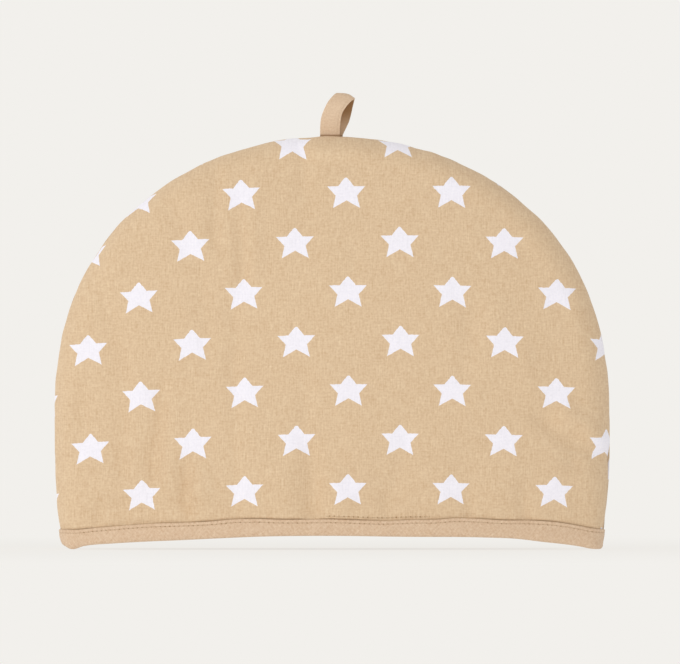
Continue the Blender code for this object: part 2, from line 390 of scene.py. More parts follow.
# ---- shader bench
class Wire:
    """One socket of a material's nodes, so that shader sums can be written as expressions."""

    def __init__(self, bench: "NodeBench", socket: bpy.types.NodeSocket) -> None:
        """Wrap a socket of a bench's nodes."""
        self.bench = bench
        self.socket = socket

    def _sum(self, operation: str, *values: Any) -> "Wire":
        """Add a Math node."""
        return self.bench.node("ShaderNodeMath", {"operation": operation}, list(values))

    def __add__(self, other: Any) -> "Wire":
        """Self plus other."""
        return self._sum("ADD", self, other)

    def __radd__(self, other: Any) -> "Wire":
        """Other plus self."""
        return self._sum("ADD", other, self)

    def __sub__(self, other: Any) -> "Wire":
        """Self less other."""
        return self._sum("SUBTRACT", self, other)

    def __rsub__(self, other: Any) -> "Wire":
        """Other less self."""
        return self._sum("SUBTRACT", other, self)

    def __mul__(self, other: Any) -> "Wire":
        """Self times other."""
        return self._sum("MULTIPLY", self, other)

    def __rmul__(self, other: Any) -> "Wire":
        """Other times self."""
        return self._sum("MULTIPLY", other, self)

    def __truediv__(self, other: Any) -> "Wire":
        """Self over other."""
        return self._sum("DIVIDE", self, other)

    def __mod__(self, other: Any) -> "Wire":
        """Remainder of self over other, from 0 up to other."""
        return self._sum("FLOORED_MODULO", self, other)

    def __abs__(self) -> "Wire":
        """Size of self."""
        return self._sum("ABSOLUTE", self)

    def apply(self, operation: str, *others: Any) -> "Wire":
        """Any other Math operation on self, by its name."""
        return self._sum(operation, self, *others)

    def ramp(self, start: float, end: float) -> "Wire":
        """Smooth 0 to 1 as self goes from start to end.

        Args:
            start: Value where it leaves 0.
            end: Value where it reaches 1.

        Returns:
            The ramp.
        """
        return self.bench.node(
            "ShaderNodeMapRange",
            {"interpolation_type": "SMOOTHSTEP"},
            {"Value": self, "From Min": start, "From Max": end, "To Min": 0.0, "To Max": 1.0},
        )


class NodeBench:
    """Builds the nodes of one material or of the world."""

    def __init__(self, owner: Material | bpy.types.World) -> None:
        """Clear the owner's nodes and keep them at hand.

        Args:
            owner: The material or world whose nodes are built.
        """
        owner.use_nodes = True
        self.owner = owner
        self.tree = owner.node_tree
        self.tree.nodes.clear()

    @classmethod
    def for_material(cls, name: str) -> "NodeBench":
        """Bench of a new material of this name."""
        return cls(bpy.data.materials.new(name))

    def node(
        self,
        kind: str,
        settings: dict[str, Any] | None = None,
        inputs: dict[Any, Any] | list[Any] | None = None,
        output: str | int = 0,
    ) -> Wire:
        """Add a node.

        Args:
            kind: Blender's type of the node.
            settings: Its own settings, set before its sockets.
            inputs: Values or wires for its sockets, by name or number or in order.
            output: The socket to return.

        Returns:
            The wire from that socket.
        """
        made = self.tree.nodes.new(kind)
        for name, value in (settings or {}).items():
            setattr(made, name, value)
        pairs = inputs.items() if isinstance(inputs, dict) else enumerate(inputs or [])
        for key, value in pairs:
            self.feed(made.inputs[key], value)
        return Wire(self, made.outputs[output])

    def feed(self, socket: bpy.types.NodeSocket, value: Any) -> None:
        """Link a wire to a socket, or set the socket's own value.

        Args:
            socket: The socket to fill.
            value: A wire, a number or a colour.
        """
        if isinstance(value, Wire):
            self.tree.links.new(value.socket, socket)
        else:
            socket.default_value = value

    def split(self, vector: Wire) -> tuple[Wire, Wire, Wire]:
        """The three parts of a vector.

        Args:
            vector: The vector.

        Returns:
            Its parts in order.
        """
        first = self.node("ShaderNodeSeparateXYZ", inputs=[vector])
        outputs = first.socket.node.outputs
        return tuple(Wire(self, socket) for socket in outputs)

    def join(self, x: Any, y: Any, z: Any = 0.0) -> Wire:
        """Vector of three parts."""
        return self.node("ShaderNodeCombineXYZ", inputs=[x, y, z])

    def noise(self, vector: Wire, scale: float, detail: float = 2.0, rough: float = 0.5) -> Wire:
        """Noise value at a vector."""
        values = {"Vector": vector, "Scale": scale, "Detail": detail, "Roughness": rough}
        return self.node("ShaderNodeTexNoise", {"noise_dimensions": "3D"}, values, "Fac")

    def kept(self, name: str, output: str = "Fac") -> Wire:
        """What write_attribute kept for the piece under a name."""
        return self.node("ShaderNodeAttribute", {"attribute_name": name}, output=output)

    def mix(self, factor: Any, first: Any, second: Any, how: str = "MIX") -> Wire:
        """Mix two colours."""
        settings = {"data_type": "RGBA", "blend_type": how, "clamp_factor": True}
        return self.node("ShaderNodeMix", settings, {0: factor, 6: first, 7: second}, 2)

    def grey(self, value: Wire) -> Wire:
        """Colour of three equal parts from a value."""
        return self.node("ShaderNodeCombineColor", {"mode": "RGB"}, [value, value, value])

    def output(self, surface: Wire) -> None:
        """Use a shader as the owner's surface.

        Args:
            surface: Output of the shader.
        """
        kind = "World" if isinstance(self.owner, bpy.types.World) else "Material"
        end = self.tree.nodes.new(f"ShaderNodeOutput{kind}")
        self.tree.links.new(surface.socket, end.inputs["Surface"])

    def raised_surface(self, plain: Colour, bump: Place, height: Wire, **sockets: Any) -> Material:
        """Finish the material as one whose surface is raised in small.

        Args:
            plain: Its colour where its nodes aren't shown.
            bump: Strength of the raising, and its full height in metres.
            height: Share of that height over the surface.
            sockets: Values or wires for the shader's sockets, with _ for a space.

        Returns:
            The material.
        """
        values = {"Strength": bump[0], "Distance": bump[1], "Height": height}
        named = {name.replace("_", " "): value for name, value in sockets.items()}
        named["Normal"] = self.node("ShaderNodeBump", {}, values)
        self.output(self.node("ShaderNodeBsdfPrincipled", {}, named))
        self.owner.diffuse_color = rgba(plain)
        return self.owner


def rgba(colour: Colour) -> tuple[float, float, float, float]:
    """Linear colour with full alpha."""
    return (*colour, 1.0)


def from_screen(red: int, green: int, blue: int) -> Colour:
    """Linear colour from the three 0 to 255 numbers of a paint chart.

    Args:
        red: Red, 0 to 255.
        green: Green, 0 to 255.
        blue: Blue, 0 to 255.

    Returns:
        The colour.
    """
    parts = []
    for part in (red, green, blue):
        share = part / 255.0
        parts.append(share / 12.92 if share <= 0.04045 else ((share + 0.055) / 1.055) ** 2.4)
    return tuple(parts)


# ---- finishes
@dataclass(frozen=True)
class StarPrint:
    """White five-pointed stars, in rows that are offset by half a pitch.

    Sizes are in millimetres of cloth. The cloth was laid on a little askew and stretched, so its
    rows bend: each warp is the shift for one span up from its middle, one span across and up, and
    so on. A star's top point is blunted at a height and rounded within a reach of its middle.
    """

    pitch: float = 65.4
    row_rise: float = 31.05
    first: Place = (10.33, 37.88)
    middle_up: float = 130.0
    warp_span: float = 100.0
    warp_across: Point = (0.6, -1.0, 1.0)
    warp_up: Point = (-1.17, 1.65, -0.3)
    half_star: tuple[Place, ...] = (
        (0.0, 10.7), (4.95, 4.3), (11.8, 4.2), (6.65, -1.5), (8.45, -9.3), (0.0, -4.55),
    )
    blunt_top: float = 9.7
    round_top: float = 0.5
    round_reach: float = 2.0
    lift: float = 0.5
    edge: float = 0.17
    raggedness: float = 0.55
    ragged_scale: float = 0.55

    def mask(self, bench: NodeBench, across: Wire, up: Wire) -> Wire:
        """Where the ink is.

        Args:
            bench: The material's nodes.
            across: Place on the cloth from side to side, in millimetres.
            up: Place on the cloth above the hem, in millimetres.

        Returns:
            1 on a star and 0 on bare cloth.
        """
        x, z = across / self.warp_span, (up - self.middle_up) / self.warp_span
        lean, twist, bow = self.warp_across
        tilt, sag, crown = self.warp_up
        column_way = across - self.first[0] + z * lean + x * z * twist + z * z * bow
        row_way = up - self.first[1] + x * tilt + x * x * sag + z * z * crown
        rows = row_way / self.row_rise + 0.5
        row = rows.apply("FLOOR")
        columns = (column_way - (row % 2.0) * (0.5 * self.pitch)) / self.pitch + 0.5
        shake = bench.noise(bench.join(across, up), self.ragged_scale, 1.0) - 0.5
        jolt = bench.noise(bench.join(up, across, 9.0), self.ragged_scale, 1.0) - 0.5
        aside = abs(((columns % 1.0) - 0.5) * self.pitch + shake * self.raggedness)
        rise = (rows - row - 0.5) * self.row_rise + self.lift + jolt * self.raggedness
        sides = [
            self._beyond(aside, rise, start, end)
            for start, end in zip(self.half_star, self.half_star[1:])
        ]
        outside = sides[0].apply("MINIMUM", sides[1])
        outside = outside.apply("MAXIMUM", sides[2].apply("MINIMUM", sides[3]))
        near = aside.apply("MINIMUM", self.round_reach)
        top = rise + near * near * self.round_top - self.blunt_top
        outside = outside.apply("MAXIMUM", sides[4]).apply("MAXIMUM", top)
        return 1.0 - outside.ramp(-self.edge, self.edge)

    def _beyond(self, aside: Wire, rise: Wire, start: Place, end: Place) -> Wire:
        """How far a place lies outside one side of the star.

        Args:
            aside: Distance to the side of the star's middle.
            rise: Height above its middle.
            start: First end of the side.
            end: Last end of the side.

        Returns:
            Millimetres outside, below 0 inside.
        """
        run, climb = end[0] - start[0], end[1] - start[1]
        length = math.hypot(run, climb)
        return (aside - start[0]) * (-climb / length) + (rise - start[1]) * (run / length)


@dataclass(frozen=True)
class CottonFinish:
    """Plain-weave cotton, with slubs in its threads and small shifts of tone.

    Sizes are in millimetres, but the bump is its strength and its full height in metres. ink_tone
    is the share of the cloth's tone that shows through the ink, and ink_fill how much the ink
    fills the weave. A crossing is how far a thread dips under the next. Painted shade, kept with
    each piece's vertices, and painted shade in stitch holes take the colour towards the cloth's
    colour times the shadow. From side to side, the painted shadow at a fold grows from fold_least
    to full over fold_dim. A hole is stretched along and across its row, and only in patches along
    it is it deeper than hole_least.
    """

    name: str
    colour: Colour
    ink: Colour = from_screen(246, 244, 254)
    ink_tone: float = 0.35
    ink_fill: float = 0.25
    stars: StarPrint | None = None
    pitch: float = 0.62
    crossing: float = 0.3
    slub: Place = (0.17, 0.105)
    slub_length: float = 9.0
    slub_width: float = 0.95
    grain: float = 0.345
    grain_size: float = 0.45
    mottle: float = 0.05
    mottle_length: float = 26.0
    tone_tint: Colour = (0.73, 1.06, 1.37)
    bias: float = 0.0
    bump: Place = (0.5, 0.12 * MM)
    shadow: Colour = (0.40, 0.29, 0.18)
    # How strongly painted shade mixes in the shadow colour.
    painted_shade_depth: float = 0.62
    stitch_pitch: float = 0.0
    stitch_drop: float = 0.0
    stitch_span: Place | None = None
    hole_shade: float = 0.85
    hole_depth: float = 1.5
    hole_edge: Place = (0.25, 0.85)
    hole_stretch: Place = (0.7, 1.6)
    hole_least: float = 0.38
    patch_scale: float = 0.21
    patch_edge: Place = (0.32, 0.66)
    pressed_edge: Place = (0.05, 0.55)
    pressed: float = 0.35
    fold_shade: float = 0.0
    fold_height: float = 0.15
    fold_edge: Place = (0.2, 0.7)
    fold_dim: Place = (-190.0, -60.0)
    fold_least: float = 0.65
    roughness: float = 0.86
    rough_change: float = 0.08
    specular: float = 0.22
    sheen: float = 0.10
    sheen_roughness: float = 0.55

    def material(self) -> Material:
        """Make the material.

        Returns:
            The material.
        """
        bench = NodeBench.for_material(self.name)
        across, up, outer = bench.split(bench.kept("cloth", "Vector"))
        across, up = across * PER_METRE, up * PER_METRE
        turn = math.radians(self.bias)
        warp_way = across * math.cos(turn) + up * math.sin(turn)
        weft_way = up * math.cos(turn) - across * math.sin(turn)
        tone = self._tone(bench, warp_way, weft_way)
        shares = [(tone - 1.0) * share + 1.0 for share in self.tone_tint]
        tinted = bench.node("ShaderNodeCombineColor", {"mode": "RGB"}, shares)
        colour = bench.mix(1.0, rgba(self.colour), tinted, "MULTIPLY")
        height = self._weave(warp_way, weft_way)
        if self.stars:
            inked = self.stars.mask(bench, across, up) * outer
            shown = bench.grey(tone * self.ink_tone + (1.0 - self.ink_tone))
            colour = bench.mix(inked, colour, bench.mix(1.0, rgba(self.ink), shown, "MULTIPLY"))
            height = height * (1.0 - inked * self.ink_fill)
        # Painted shade: the colour towards which creases, the binding's fold line and stitch
        # dimples are darkened.
        shade_colour = rgba(tuple(share * part for share, part in zip(self.shadow, self.colour)))
        painted_shade, drop = bench.kept("painted_shade"), up
        # Painted shadow along the binding's folded edge, added to the painted shade kept on the
        # piece.
        if self.fold_shade:
            drop = bench.kept("above_fold") * PER_METRE
            painted_shade = painted_shade.apply("MAXIMUM", self._fold_shadow(across, drop))
        if self.stitch_pitch:
            # Painted shade in the stitch dimples and along the pressed line; the bump sinks them as
            # well.
            hole = self._stitch_holes(bench, across, drop, outer)
            colour = bench.mix(hole * self.hole_shade, colour, shade_colour)
            height = height - hole * self.hole_depth
        return bench.raised_surface(
            self.colour,
            self.bump,
            height,
            Base_Color=bench.mix(painted_shade * self.painted_shade_depth, colour, shade_colour),
            Roughness=tone * -self.rough_change + (self.roughness + self.rough_change),
            Specular_IOR_Level=self.specular,
            Sheen_Weight=self.sheen,
            Sheen_Roughness=self.sheen_roughness,
        )

    def _fold_shadow(self, across: Wire, drop: Wire) -> Wire:
        """Shade of the thin line where the binding's folded edge meets the cloth.

        Args:
            across: Place from side to side, in millimetres.
            drop: Height above the fold, in millimetres.

        Returns:
            1 in the deepest shade and 0 away from it.
        """
        line = 1.0 - abs(drop - self.fold_height).ramp(*self.fold_edge)
        dimmed = across.ramp(*self.fold_dim) * (1.0 - self.fold_least) + self.fold_least
        return line * dimmed * self.fold_shade

    def _tone(self, bench: NodeBench, warp_way: Wire, weft_way: Wire) -> Wire:
        """Share of the full colour: slubs along both sets of threads, and a broad mottle.

        Args:
            bench: The material's nodes.
            warp_way: Place across the warp threads, in millimetres.
            weft_way: Place across the weft threads, in millimetres.

        Returns:
            The share, near 1.
        """
        slubs = []
        threads = ((warp_way, weft_way, 3.0), (weft_way, warp_way, 8.0))
        for strength, (fine, long, seed) in zip(self.slub, threads):
            place = bench.join(fine / (self.slub_width * self.pitch), long / self.slub_length, seed)
            slubs.append((bench.noise(place, 1.0, 1.0) - 0.5) * (2.0 * strength))
        scale = self.grain_size / self.pitch
        grain = bench.noise(bench.join(warp_way, weft_way, 1.0), scale, 1.0)
        broad = bench.noise(bench.join(warp_way, weft_way, 5.0), 1.0 / self.mottle_length, 3.0)
        tone = slubs[0] + slubs[1] + (grain - 0.5) * self.grain
        return tone + (broad - 0.5) * self.mottle + 1.0

    def _weave(self, warp_way: Wire, weft_way: Wire) -> Wire:
        """Height of a plain weave, from 0 between the threads to 1 on their crowns.

        Args:
            warp_way: Place across the warp threads, in millimetres.
            weft_way: Place across the weft threads, in millimetres.

        Returns:
            The height.
        """
        column, row = warp_way / self.pitch, weft_way / self.pitch
        over = ((column.apply("FLOOR") + row) * math.pi).apply("SINE")
        under = ((row.apply("FLOOR") + column) * math.pi).apply("SINE")
        dip, level = self.crossing, 1.0 - self.crossing
        warp = ((column % 1.0) * math.pi).apply("SINE") * (over * dip + level)
        weft = ((row % 1.0) * math.pi).apply("SINE") * (under * -dip + level)
        return warp.apply("MAXIMUM", weft)

    def _stitch_holes(self, bench: NodeBench, along: Wire, drop: Wire, outer: Wire) -> Wire:
        """Dimples where the thread goes down, once a stitch, along a faint pressed line.

        Args:
            bench: The material's nodes.
            along: Place along the strip, in millimetres.
            drop: Place down the strip from its fold, in millimetres.
            outer: 1 on the side of the cloth where the stitches show.

        Returns:
            1 in the deepest dimple and 0 away from the line.
        """
        sewn = outer
        if self.stitch_span:
            start, end = self.stitch_span
            sewn = sewn * along.ramp(start, start + 1.0) * (1.0 - along.ramp(end - 1.0, end))
        step = ((along / self.stitch_pitch) % 1.0 - 0.5) * self.stitch_pitch
        aside = drop - self.stitch_drop
        lengthwise, crosswise = self.hole_stretch
        away = (step * step * lengthwise + aside * aside * crosswise).apply("SQRT")
        patches = bench.noise(bench.join(along, 0.0, 4.0), self.patch_scale, 2.0)
        depth = patches.ramp(*self.patch_edge) * (1.0 - self.hole_least) + self.hole_least
        dimple = (1.0 - away.ramp(*self.hole_edge)) * depth * sewn
        pressed = (1.0 - abs(aside).ramp(*self.pressed_edge)) * self.pressed
        return dimple.apply("MAXIMUM", pressed)


@dataclass(frozen=True)
class ThreadFinish:
    """Spun cotton sewing thread. Its tone goes from tone_least upwards, by tone_change."""

    name: str
    colour: Colour
    twist: float = 900.0
    tone_least: float = 0.75
    tone_change: float = 0.5
    bump: Place = (0.5, 0.06 * MM)
    roughness: float = 0.6
    sheen: float = 0.15

    def material(self) -> Material:
        """Make the material.

        Returns:
            The material.
        """
        bench = NodeBench.for_material(self.name)
        place = bench.node("ShaderNodeTexCoord", output="Object")
        tone = bench.noise(place, self.twist, 2.0) * self.tone_change + self.tone_least
        settings = {"wave_type": "BANDS", "bands_direction": "DIAGONAL"}
        values = {"Vector": place, "Scale": self.twist, "Distortion": 1.0}
        return bench.raised_surface(
            self.colour,
            self.bump,
            bench.node("ShaderNodeTexWave", settings, values, "Fac"),
            Base_Color=bench.mix(1.0, rgba(self.colour), bench.grey(tone), "MULTIPLY"),
            Roughness=self.roughness,
            Sheen_Weight=self.sheen,
        )


# The short first row of stitching that shows above the binding: its rise and its two ends.
UPPER_ROW_RISE = 2.0
UPPER_ROW_SPAN = (-4.4, 61.7)

PRINTED_COTTON = CottonFinish(
    "printed_cotton_cloth",
    (0.727, 0.540, 0.354),
    stars=StarPrint(),
    fold_shade=0.60,
    stitch_pitch=3.0,
    stitch_drop=UPPER_ROW_RISE,
    stitch_span=UPPER_ROW_SPAN,
    pressed=0.0,
)
BINDING_COTTON = CottonFinish(
    "binding_cotton_cloth",
    (0.712, 0.524, 0.366),
    pitch=0.60,
    bias=42.0,
    slub=(0.11, 0.11),
    grain=0.46,
    stitch_pitch=3.0,
    stitch_drop=1.8,
)
TAPE_COTTON = CottonFinish(
    "tape_cotton_cloth", (0.755, 0.568, 0.405), pitch=0.5, slub=(0.03, 0.03), painted_shade_depth=1.0
)
THREAD = ThreadFinish("beige_thread", (0.61, 0.44, 0.28))


# ---- shape of the cosy
@dataclass(frozen=True)
class CosyShape:
    """Shape in which the cosy stands: its dome outline, its opening and the arch of its hem."""

    half_width: float = 175.0 * MM
    top: float = 260.0 * MM
    widest: float = 80.0 * MM
    dome_power: float = 2.4
    hem_half_width: float = 169.0 * MM
    hem_taper_power: float = 2.6
    hem_half_depth: float = 46.0 * MM
    opening_power: float = 0.8
    opening_lean: float = 0.25
    edge_roll: float = 9.0 * MM
    puff: float = 2.6 * MM
    puff_start: float = 14.4 * MM
    puff_rise: float = 22.0 * MM
    seam_reach: float = 16.0 * MM
    arch_rise: float = 8.6 * MM
    arch_half_span: float = 157.0 * MM
    arch_power: float = 3.2
    arch_softening: float = 0.12
    arch_fade: float = 90.0 * MM
    seam_half_gap: float = 0.15 * MM
    slot: float = 1.85 * MM
    slot_middle: float = 2.55 * MM
    slot_reach: float = 13.7 * MM
    slot_fade: float = 12.6 * MM
    slot_depth: float = 18.0 * MM
    cloth_low: float = 4.0 * MM
    fine_hem: float = 20.0 * MM
    side_points: int = 200
    dome_points: int = 1200
    turn_angles: tuple[float, ...] = (0.0, 6.0, 13.0, 21.0, 31.0, 42.0, 54.0, 66.0, 78.0, 90.0)
    flat_steps: Place = (10.5 * MM, 12.0 * MM)

    def dome_rise(self, height: Array) -> Array:
        """Share of the way from the widest line up to the top, 0 below that line."""
        return np.clip((height - self.widest) / (self.top - self.widest), 0.0, 1.0)

    def width_at(self, height: Array) -> Array:
        """Half the width of the dome outline at heights above the hem line.

        Args:
            height: Heights above the hem line.

        Returns:
            The half widths.
        """
        fall = np.clip((self.widest - height) / self.widest, 0.0, 1.0)
        taper = (self.half_width - self.hem_half_width) * fall**self.hem_taper_power
        return self.half_width * np.sqrt(1.0 - self.dome_rise(height) ** self.dome_power) - taper

    def arch_lift(self, x: Array) -> Array:
        """Lift of the hem line above the table.

        Args:
            x: Places from side to side.

        Returns:
            The lifts.
        """
        share = np.minimum(np.abs(x) / self.arch_half_span, 1.0)
        ease = smooth_step((1.0 - share) / self.arch_softening)
        return self.arch_rise * (1.0 - share**self.arch_power) * ease

    def opening(self, x: Array, height: Array) -> Array:
        """How far the cloth stands out because it is open.

        Args:
            x: Places from side to side.
            height: Heights above the hem line.

        Returns:
            Distances out from the seam plane.
        """
        rise = self.dome_rise(height)
        low = 1.0 - (x / self.width_at(np.minimum(height, self.widest))) ** 2
        high = 1.0 - (x / self.half_width) ** 2 - rise**self.dome_power
        inside = np.where(height < self.widest, low, high)
        lean = 1.0 - self.opening_lean * height / self.top
        full = self.hem_half_depth - self.edge_roll
        return full * np.maximum(inside, 0.0) ** self.opening_power * lean

    def half_gap(self, x: Array, height: Array) -> Array:
        """Half the gap of the seam, wider where the loop's ends are caught in it.

        Args:
            x: Places from side to side.
            height: Heights above the hem line.

        Returns:
            Half the gap at each place.
        """
        near_top = smooth_step((height - self.top + self.slot_depth) / (0.5 * self.slot_depth))
        away = np.maximum(np.abs(x - self.slot_middle) - self.slot_reach, 0.0)
        beside = 1.0 - smooth_step(away / self.slot_fade)
        return self.seam_half_gap + self.slot * near_top * beside

    def half_depth(self, x: Array, height: Array, distance: Array) -> Array:
        """Distance from the seam plane to the outer face of the cloth.

        Args:
            x: Places from side to side.
            height: Heights above the hem line.
            distance: How far the places lie in from the outline.

        Returns:
            The distances.
        """
        share = 1.0 - np.clip(distance / self.edge_roll, 0.0, 1.0)
        roll = self.edge_roll * np.sqrt(1.0 - share**2)
        above = smooth_step((height - self.puff_start) / self.puff_rise)
        puff = self.puff * above * smooth_step(distance / self.seam_reach)
        return self.half_gap(x, height) + roll + self.opening(x, height) + puff

    def out_of_seam(self, x: Array, height: Array, distance: Array) -> Array:
        """Distance from the seam's own face to the outer face of the cloth."""
        return self.half_depth(x, height, distance) - self.half_gap(x, height)

    def lift_at(self, x: Array, height: Array) -> Array:
        """Lift of the cloth above its own height, fading upwards from the hem."""
        return self.arch_lift(x) * (1.0 - smooth_step(height / self.arch_fade))

    def placed(self, x: Array, y: Array, height: Array) -> Array:
        """Points from places on the cloth, with the lift of the arch added."""
        return np.stack(np.broadcast_arrays(x, y, height + self.lift_at(x, height)), axis=-1)

    def edge_steps(self) -> Array:
        """Distances in from the outline by which the cloth turns over at the seam."""
        angles = np.radians(self.turn_angles)
        return np.append(self.edge_roll * (1.0 - np.cos(angles)), self.flat_steps)

    def outline(self, hem_cells: int, cells: int) -> Array:
        """Dome outline from the left end of the hem to the right.

        Args:
            hem_cells: Fine cells in the lowest part of each side, where the binding covers it.
            cells: Even cells in all the rest.

        Returns:
            Places (x, h) along it.
        """
        side = np.linspace(self.cloth_low, self.widest, self.side_points, endpoint=False)
        angles = np.linspace(0.0, 0.5 * math.pi, self.dome_points)
        climb = np.sin(angles) ** (2.0 / self.dome_power)
        x = np.concatenate([self.width_at(side), self.half_width * np.cos(angles)])
        height = np.concatenate([side, self.widest + (self.top - self.widest) * climb])
        right = np.stack([x, height], axis=1)
        path = np.concatenate([right * (-1.0, 1.0), right[-2::-1]])
        lengths = np.append(0.0, np.cumsum(np.hypot(*np.diff(path, axis=0).T)))
        low = np.linspace(0.0, self.fine_hem, hem_cells, endpoint=False)
        rest = np.linspace(self.fine_hem, lengths[-1] - self.fine_hem, cells + 1)
        wanted = np.concatenate([low, rest, lengths[-1] - low[::-1]])
        return points_at(wanted, lengths, path)


SHAPE = CosyShape()


@dataclass(frozen=True)
class SoftFold:
    """One soft trough or ridge in the padded cloth, in millimetres.

    start and end are its two ends as (x, z). A rise below 0 makes it a trough. It wanders to both
    sides, and its rise is uneven along it. It dies away past each end over a share of its length.
    """

    start: Place
    end: Place
    width: float
    rise: float
    wander: float = 2.0
    wander_length: float = 17.0
    uneven_length: float = 12.0
    fullness: float = 1.75
    narrowness: float = 0.88
    fade_share: float = 0.22
    evenness: float = 0.85
    unevenness: float = 0.35

    def height(self, x: Array, z: Array) -> Array:
        """How far it lifts the cloth at places in metres.

        Args:
            x: Places from side to side.
            z: Heights above the table.

        Returns:
            The lifts, below 0 in a trough.
        """
        start, end = np.array(self.start) * MM, np.array(self.end) * MM
        run = end - start
        length = float(np.hypot(*run))
        along = ((x - start[0]) * run[0] + (z - start[1]) * run[1]) / length
        aside = ((x - start[0]) * run[1] - (z - start[1]) * run[0]) / length
        wave = soft_noise(along / (self.wander_length * MM), self.start[0], 11)
        aside = aside + self.wander * MM * wave
        fade = self.fade_share * length + self.width * MM
        held = smooth_step((along + fade) / fade) * smooth_step((length + fade - along) / fade)
        noise = soft_noise(along / (self.uneven_length * MM), self.start[1], 12)
        uneven = self.evenness + self.unevenness * noise
        full = self.fullness * self.rise * MM * bell(aside, self.narrowness * self.width)
        return full * held * uneven


def soft_folds(*rows: tuple[float, ...]) -> tuple[SoftFold, ...]:
    """Folds from rows of numbers: x and z of each end, width and rise."""
    return tuple(SoftFold(row[:2], row[2:4], *row[4:]) for row in rows)


FRONT_FOLDS = soft_folds(
    (-64.0, 226.0, -63.0, 178.0, 3.6, 0.5), (-57.6, 210.0, -57.2, 170.0, 3.8, -1.15),
    (-55.0, 238.0, -57.0, 222.0, 4.6, -0.4), (-48.5, 226.0, -49.0, 176.0, 4.2, 0.5),
    (-73.0, 236.0, -72.5, 196.0, 3.4, -0.9), (-60.5, 148.0, -60.8, 28.0, 4.4, -0.9),
    (-82.0, 176.0, -78.0, 120.0, 4.4, -0.55), (-106.5, 97.0, -112.0, 42.0, 4.4, -1.9),
    (-101.0, 84.0, -104.0, 42.0, 5.0, 0.8), (-91.5, 52.0, -90.5, 24.0, 3.6, -2.1),
    (-82.0, 48.0, -80.0, 24.0, 4.8, 1.1), (-14.0, 62.0, -11.0, 25.0, 5.2, -1.9),
    (-29.0, 46.0, -30.0, 24.0, 6.0, 0.8), (3.0, 44.0, 6.0, 22.0, 6.4, 1.0),
    (-157.5, 100.0, -156.5, 72.0, 4.4, -1.3), (-131.5, 84.0, -132.5, 50.0, 3.8, -1.2),
    (-145.5, 170.0, -129.0, 110.0, 5.0, -1.2), (-126.0, 112.0, -120.0, 96.0, 6.0, 0.8),
    (-136.0, 34.0, -134.0, 26.0, 4.0, -0.8), (133.0, 80.0, 170.0, 57.0, 4.2, -1.9),
    (147.0, 86.0, 171.0, 69.0, 4.8, 1.3), (152.0, 55.5, 172.0, 51.0, 3.2, -1.2),
    (90.0, 146.0, 84.0, 112.0, 6.4, -0.9), (-20.0, 250.0, -18.5, 226.0, 4.0, -1.0),
    (-97.0, 214.0, -92.0, 186.0, 5.5, -0.7), (-20.0, 106.0, -17.0, 74.0, 5.0, -0.7),
    (44.0, 70.0, 40.0, 34.0, 6.0, -0.5), (120.0, 124.0, 128.0, 92.0, 5.0, 0.5),
    (-144.0, 29.0, -145.0, 17.0, 3.0, -1.2), (-128.4, 30.0, -129.0, 18.0, 3.0, -1.0),
    (35.0, 34.0, 36.0, 21.0, 3.4, -0.6), (84.0, 36.0, 86.0, 21.0, 4.0, -0.7),
    (118.0, 38.0, 120.0, 20.0, 3.8, -0.7),
)
BACK_FOLDS = soft_folds(
    (-96.0, 170.0, -101.0, 44.0, 5.0, -1.4), (-88.0, 150.0, -90.0, 80.0, 5.0, 0.7),
    (-40.0, 92.0, -43.0, 24.0, 4.6, -1.6), (18.0, 210.0, 14.0, 120.0, 5.0, -1.1),
    (31.0, 66.0, 30.0, 24.0, 5.5, 1.0), (74.0, 118.0, 79.0, 26.0, 4.6, -1.6),
    (128.0, 74.0, 131.0, 28.0, 4.0, -1.3), (-140.0, 96.0, -169.0, 66.0, 4.6, -1.5),
    (112.0, 190.0, 104.0, 150.0, 5.0, -0.9), (-128.0, 34.0, -129.0, 18.0, 3.4, -1.1),
    (-72.0, 36.0, -72.0, 20.0, 3.4, -1.0), (104.0, 38.0, 103.0, 20.0, 3.4, -1.0),
)

# Heights of the hem binding's folded edge and lower edge along x, in millimetres.
FOLD_LINE: tuple[Place, ...] = (
    (-172.0, 12.3), (-158.6, 12.3), (-153.6, 12.9), (-139.8, 14.2), (-127.0, 15.3),
    (-112.1, 16.3), (-90.0, 17.0), (-72.5, 18.0), (-63.5, 18.9), (-45.3, 19.3), (-32.7, 18.9),
    (-15.1, 18.9), (-1.3, 19.1), (17.9, 18.5), (33.4, 18.1), (49.7, 18.7), (66.7, 18.9),
    (76.0, 19.7), (88.0, 19.5), (107.6, 18.3), (126.9, 18.1), (139.8, 17.2), (152.3, 15.3),
    (165.3, 12.9), (172.0, 12.3),
)
LOWER_LINE: tuple[Place, ...] = (
    (-173.0, 0.3), (-171.3, 0.5), (-170.6, 1.8), (-169.6, 2.3), (-168.0, 1.8), (-164.6, 0.1),
    (-156.0, 2.0), (-136.0, 3.8), (-116.0, 5.0), (-95.0, 5.9), (-75.0, 6.9), (-45.0, 8.2),
    (0.0, 8.7), (45.0, 8.1), (95.0, 7.6), (116.0, 6.7), (131.0, 4.9), (156.0, 1.7), (163.0, 0.3),
    (166.4, 0.0), (169.6, 0.0), (170.6, 0.3), (171.5, 1.6), (172.5, 2.7),
)


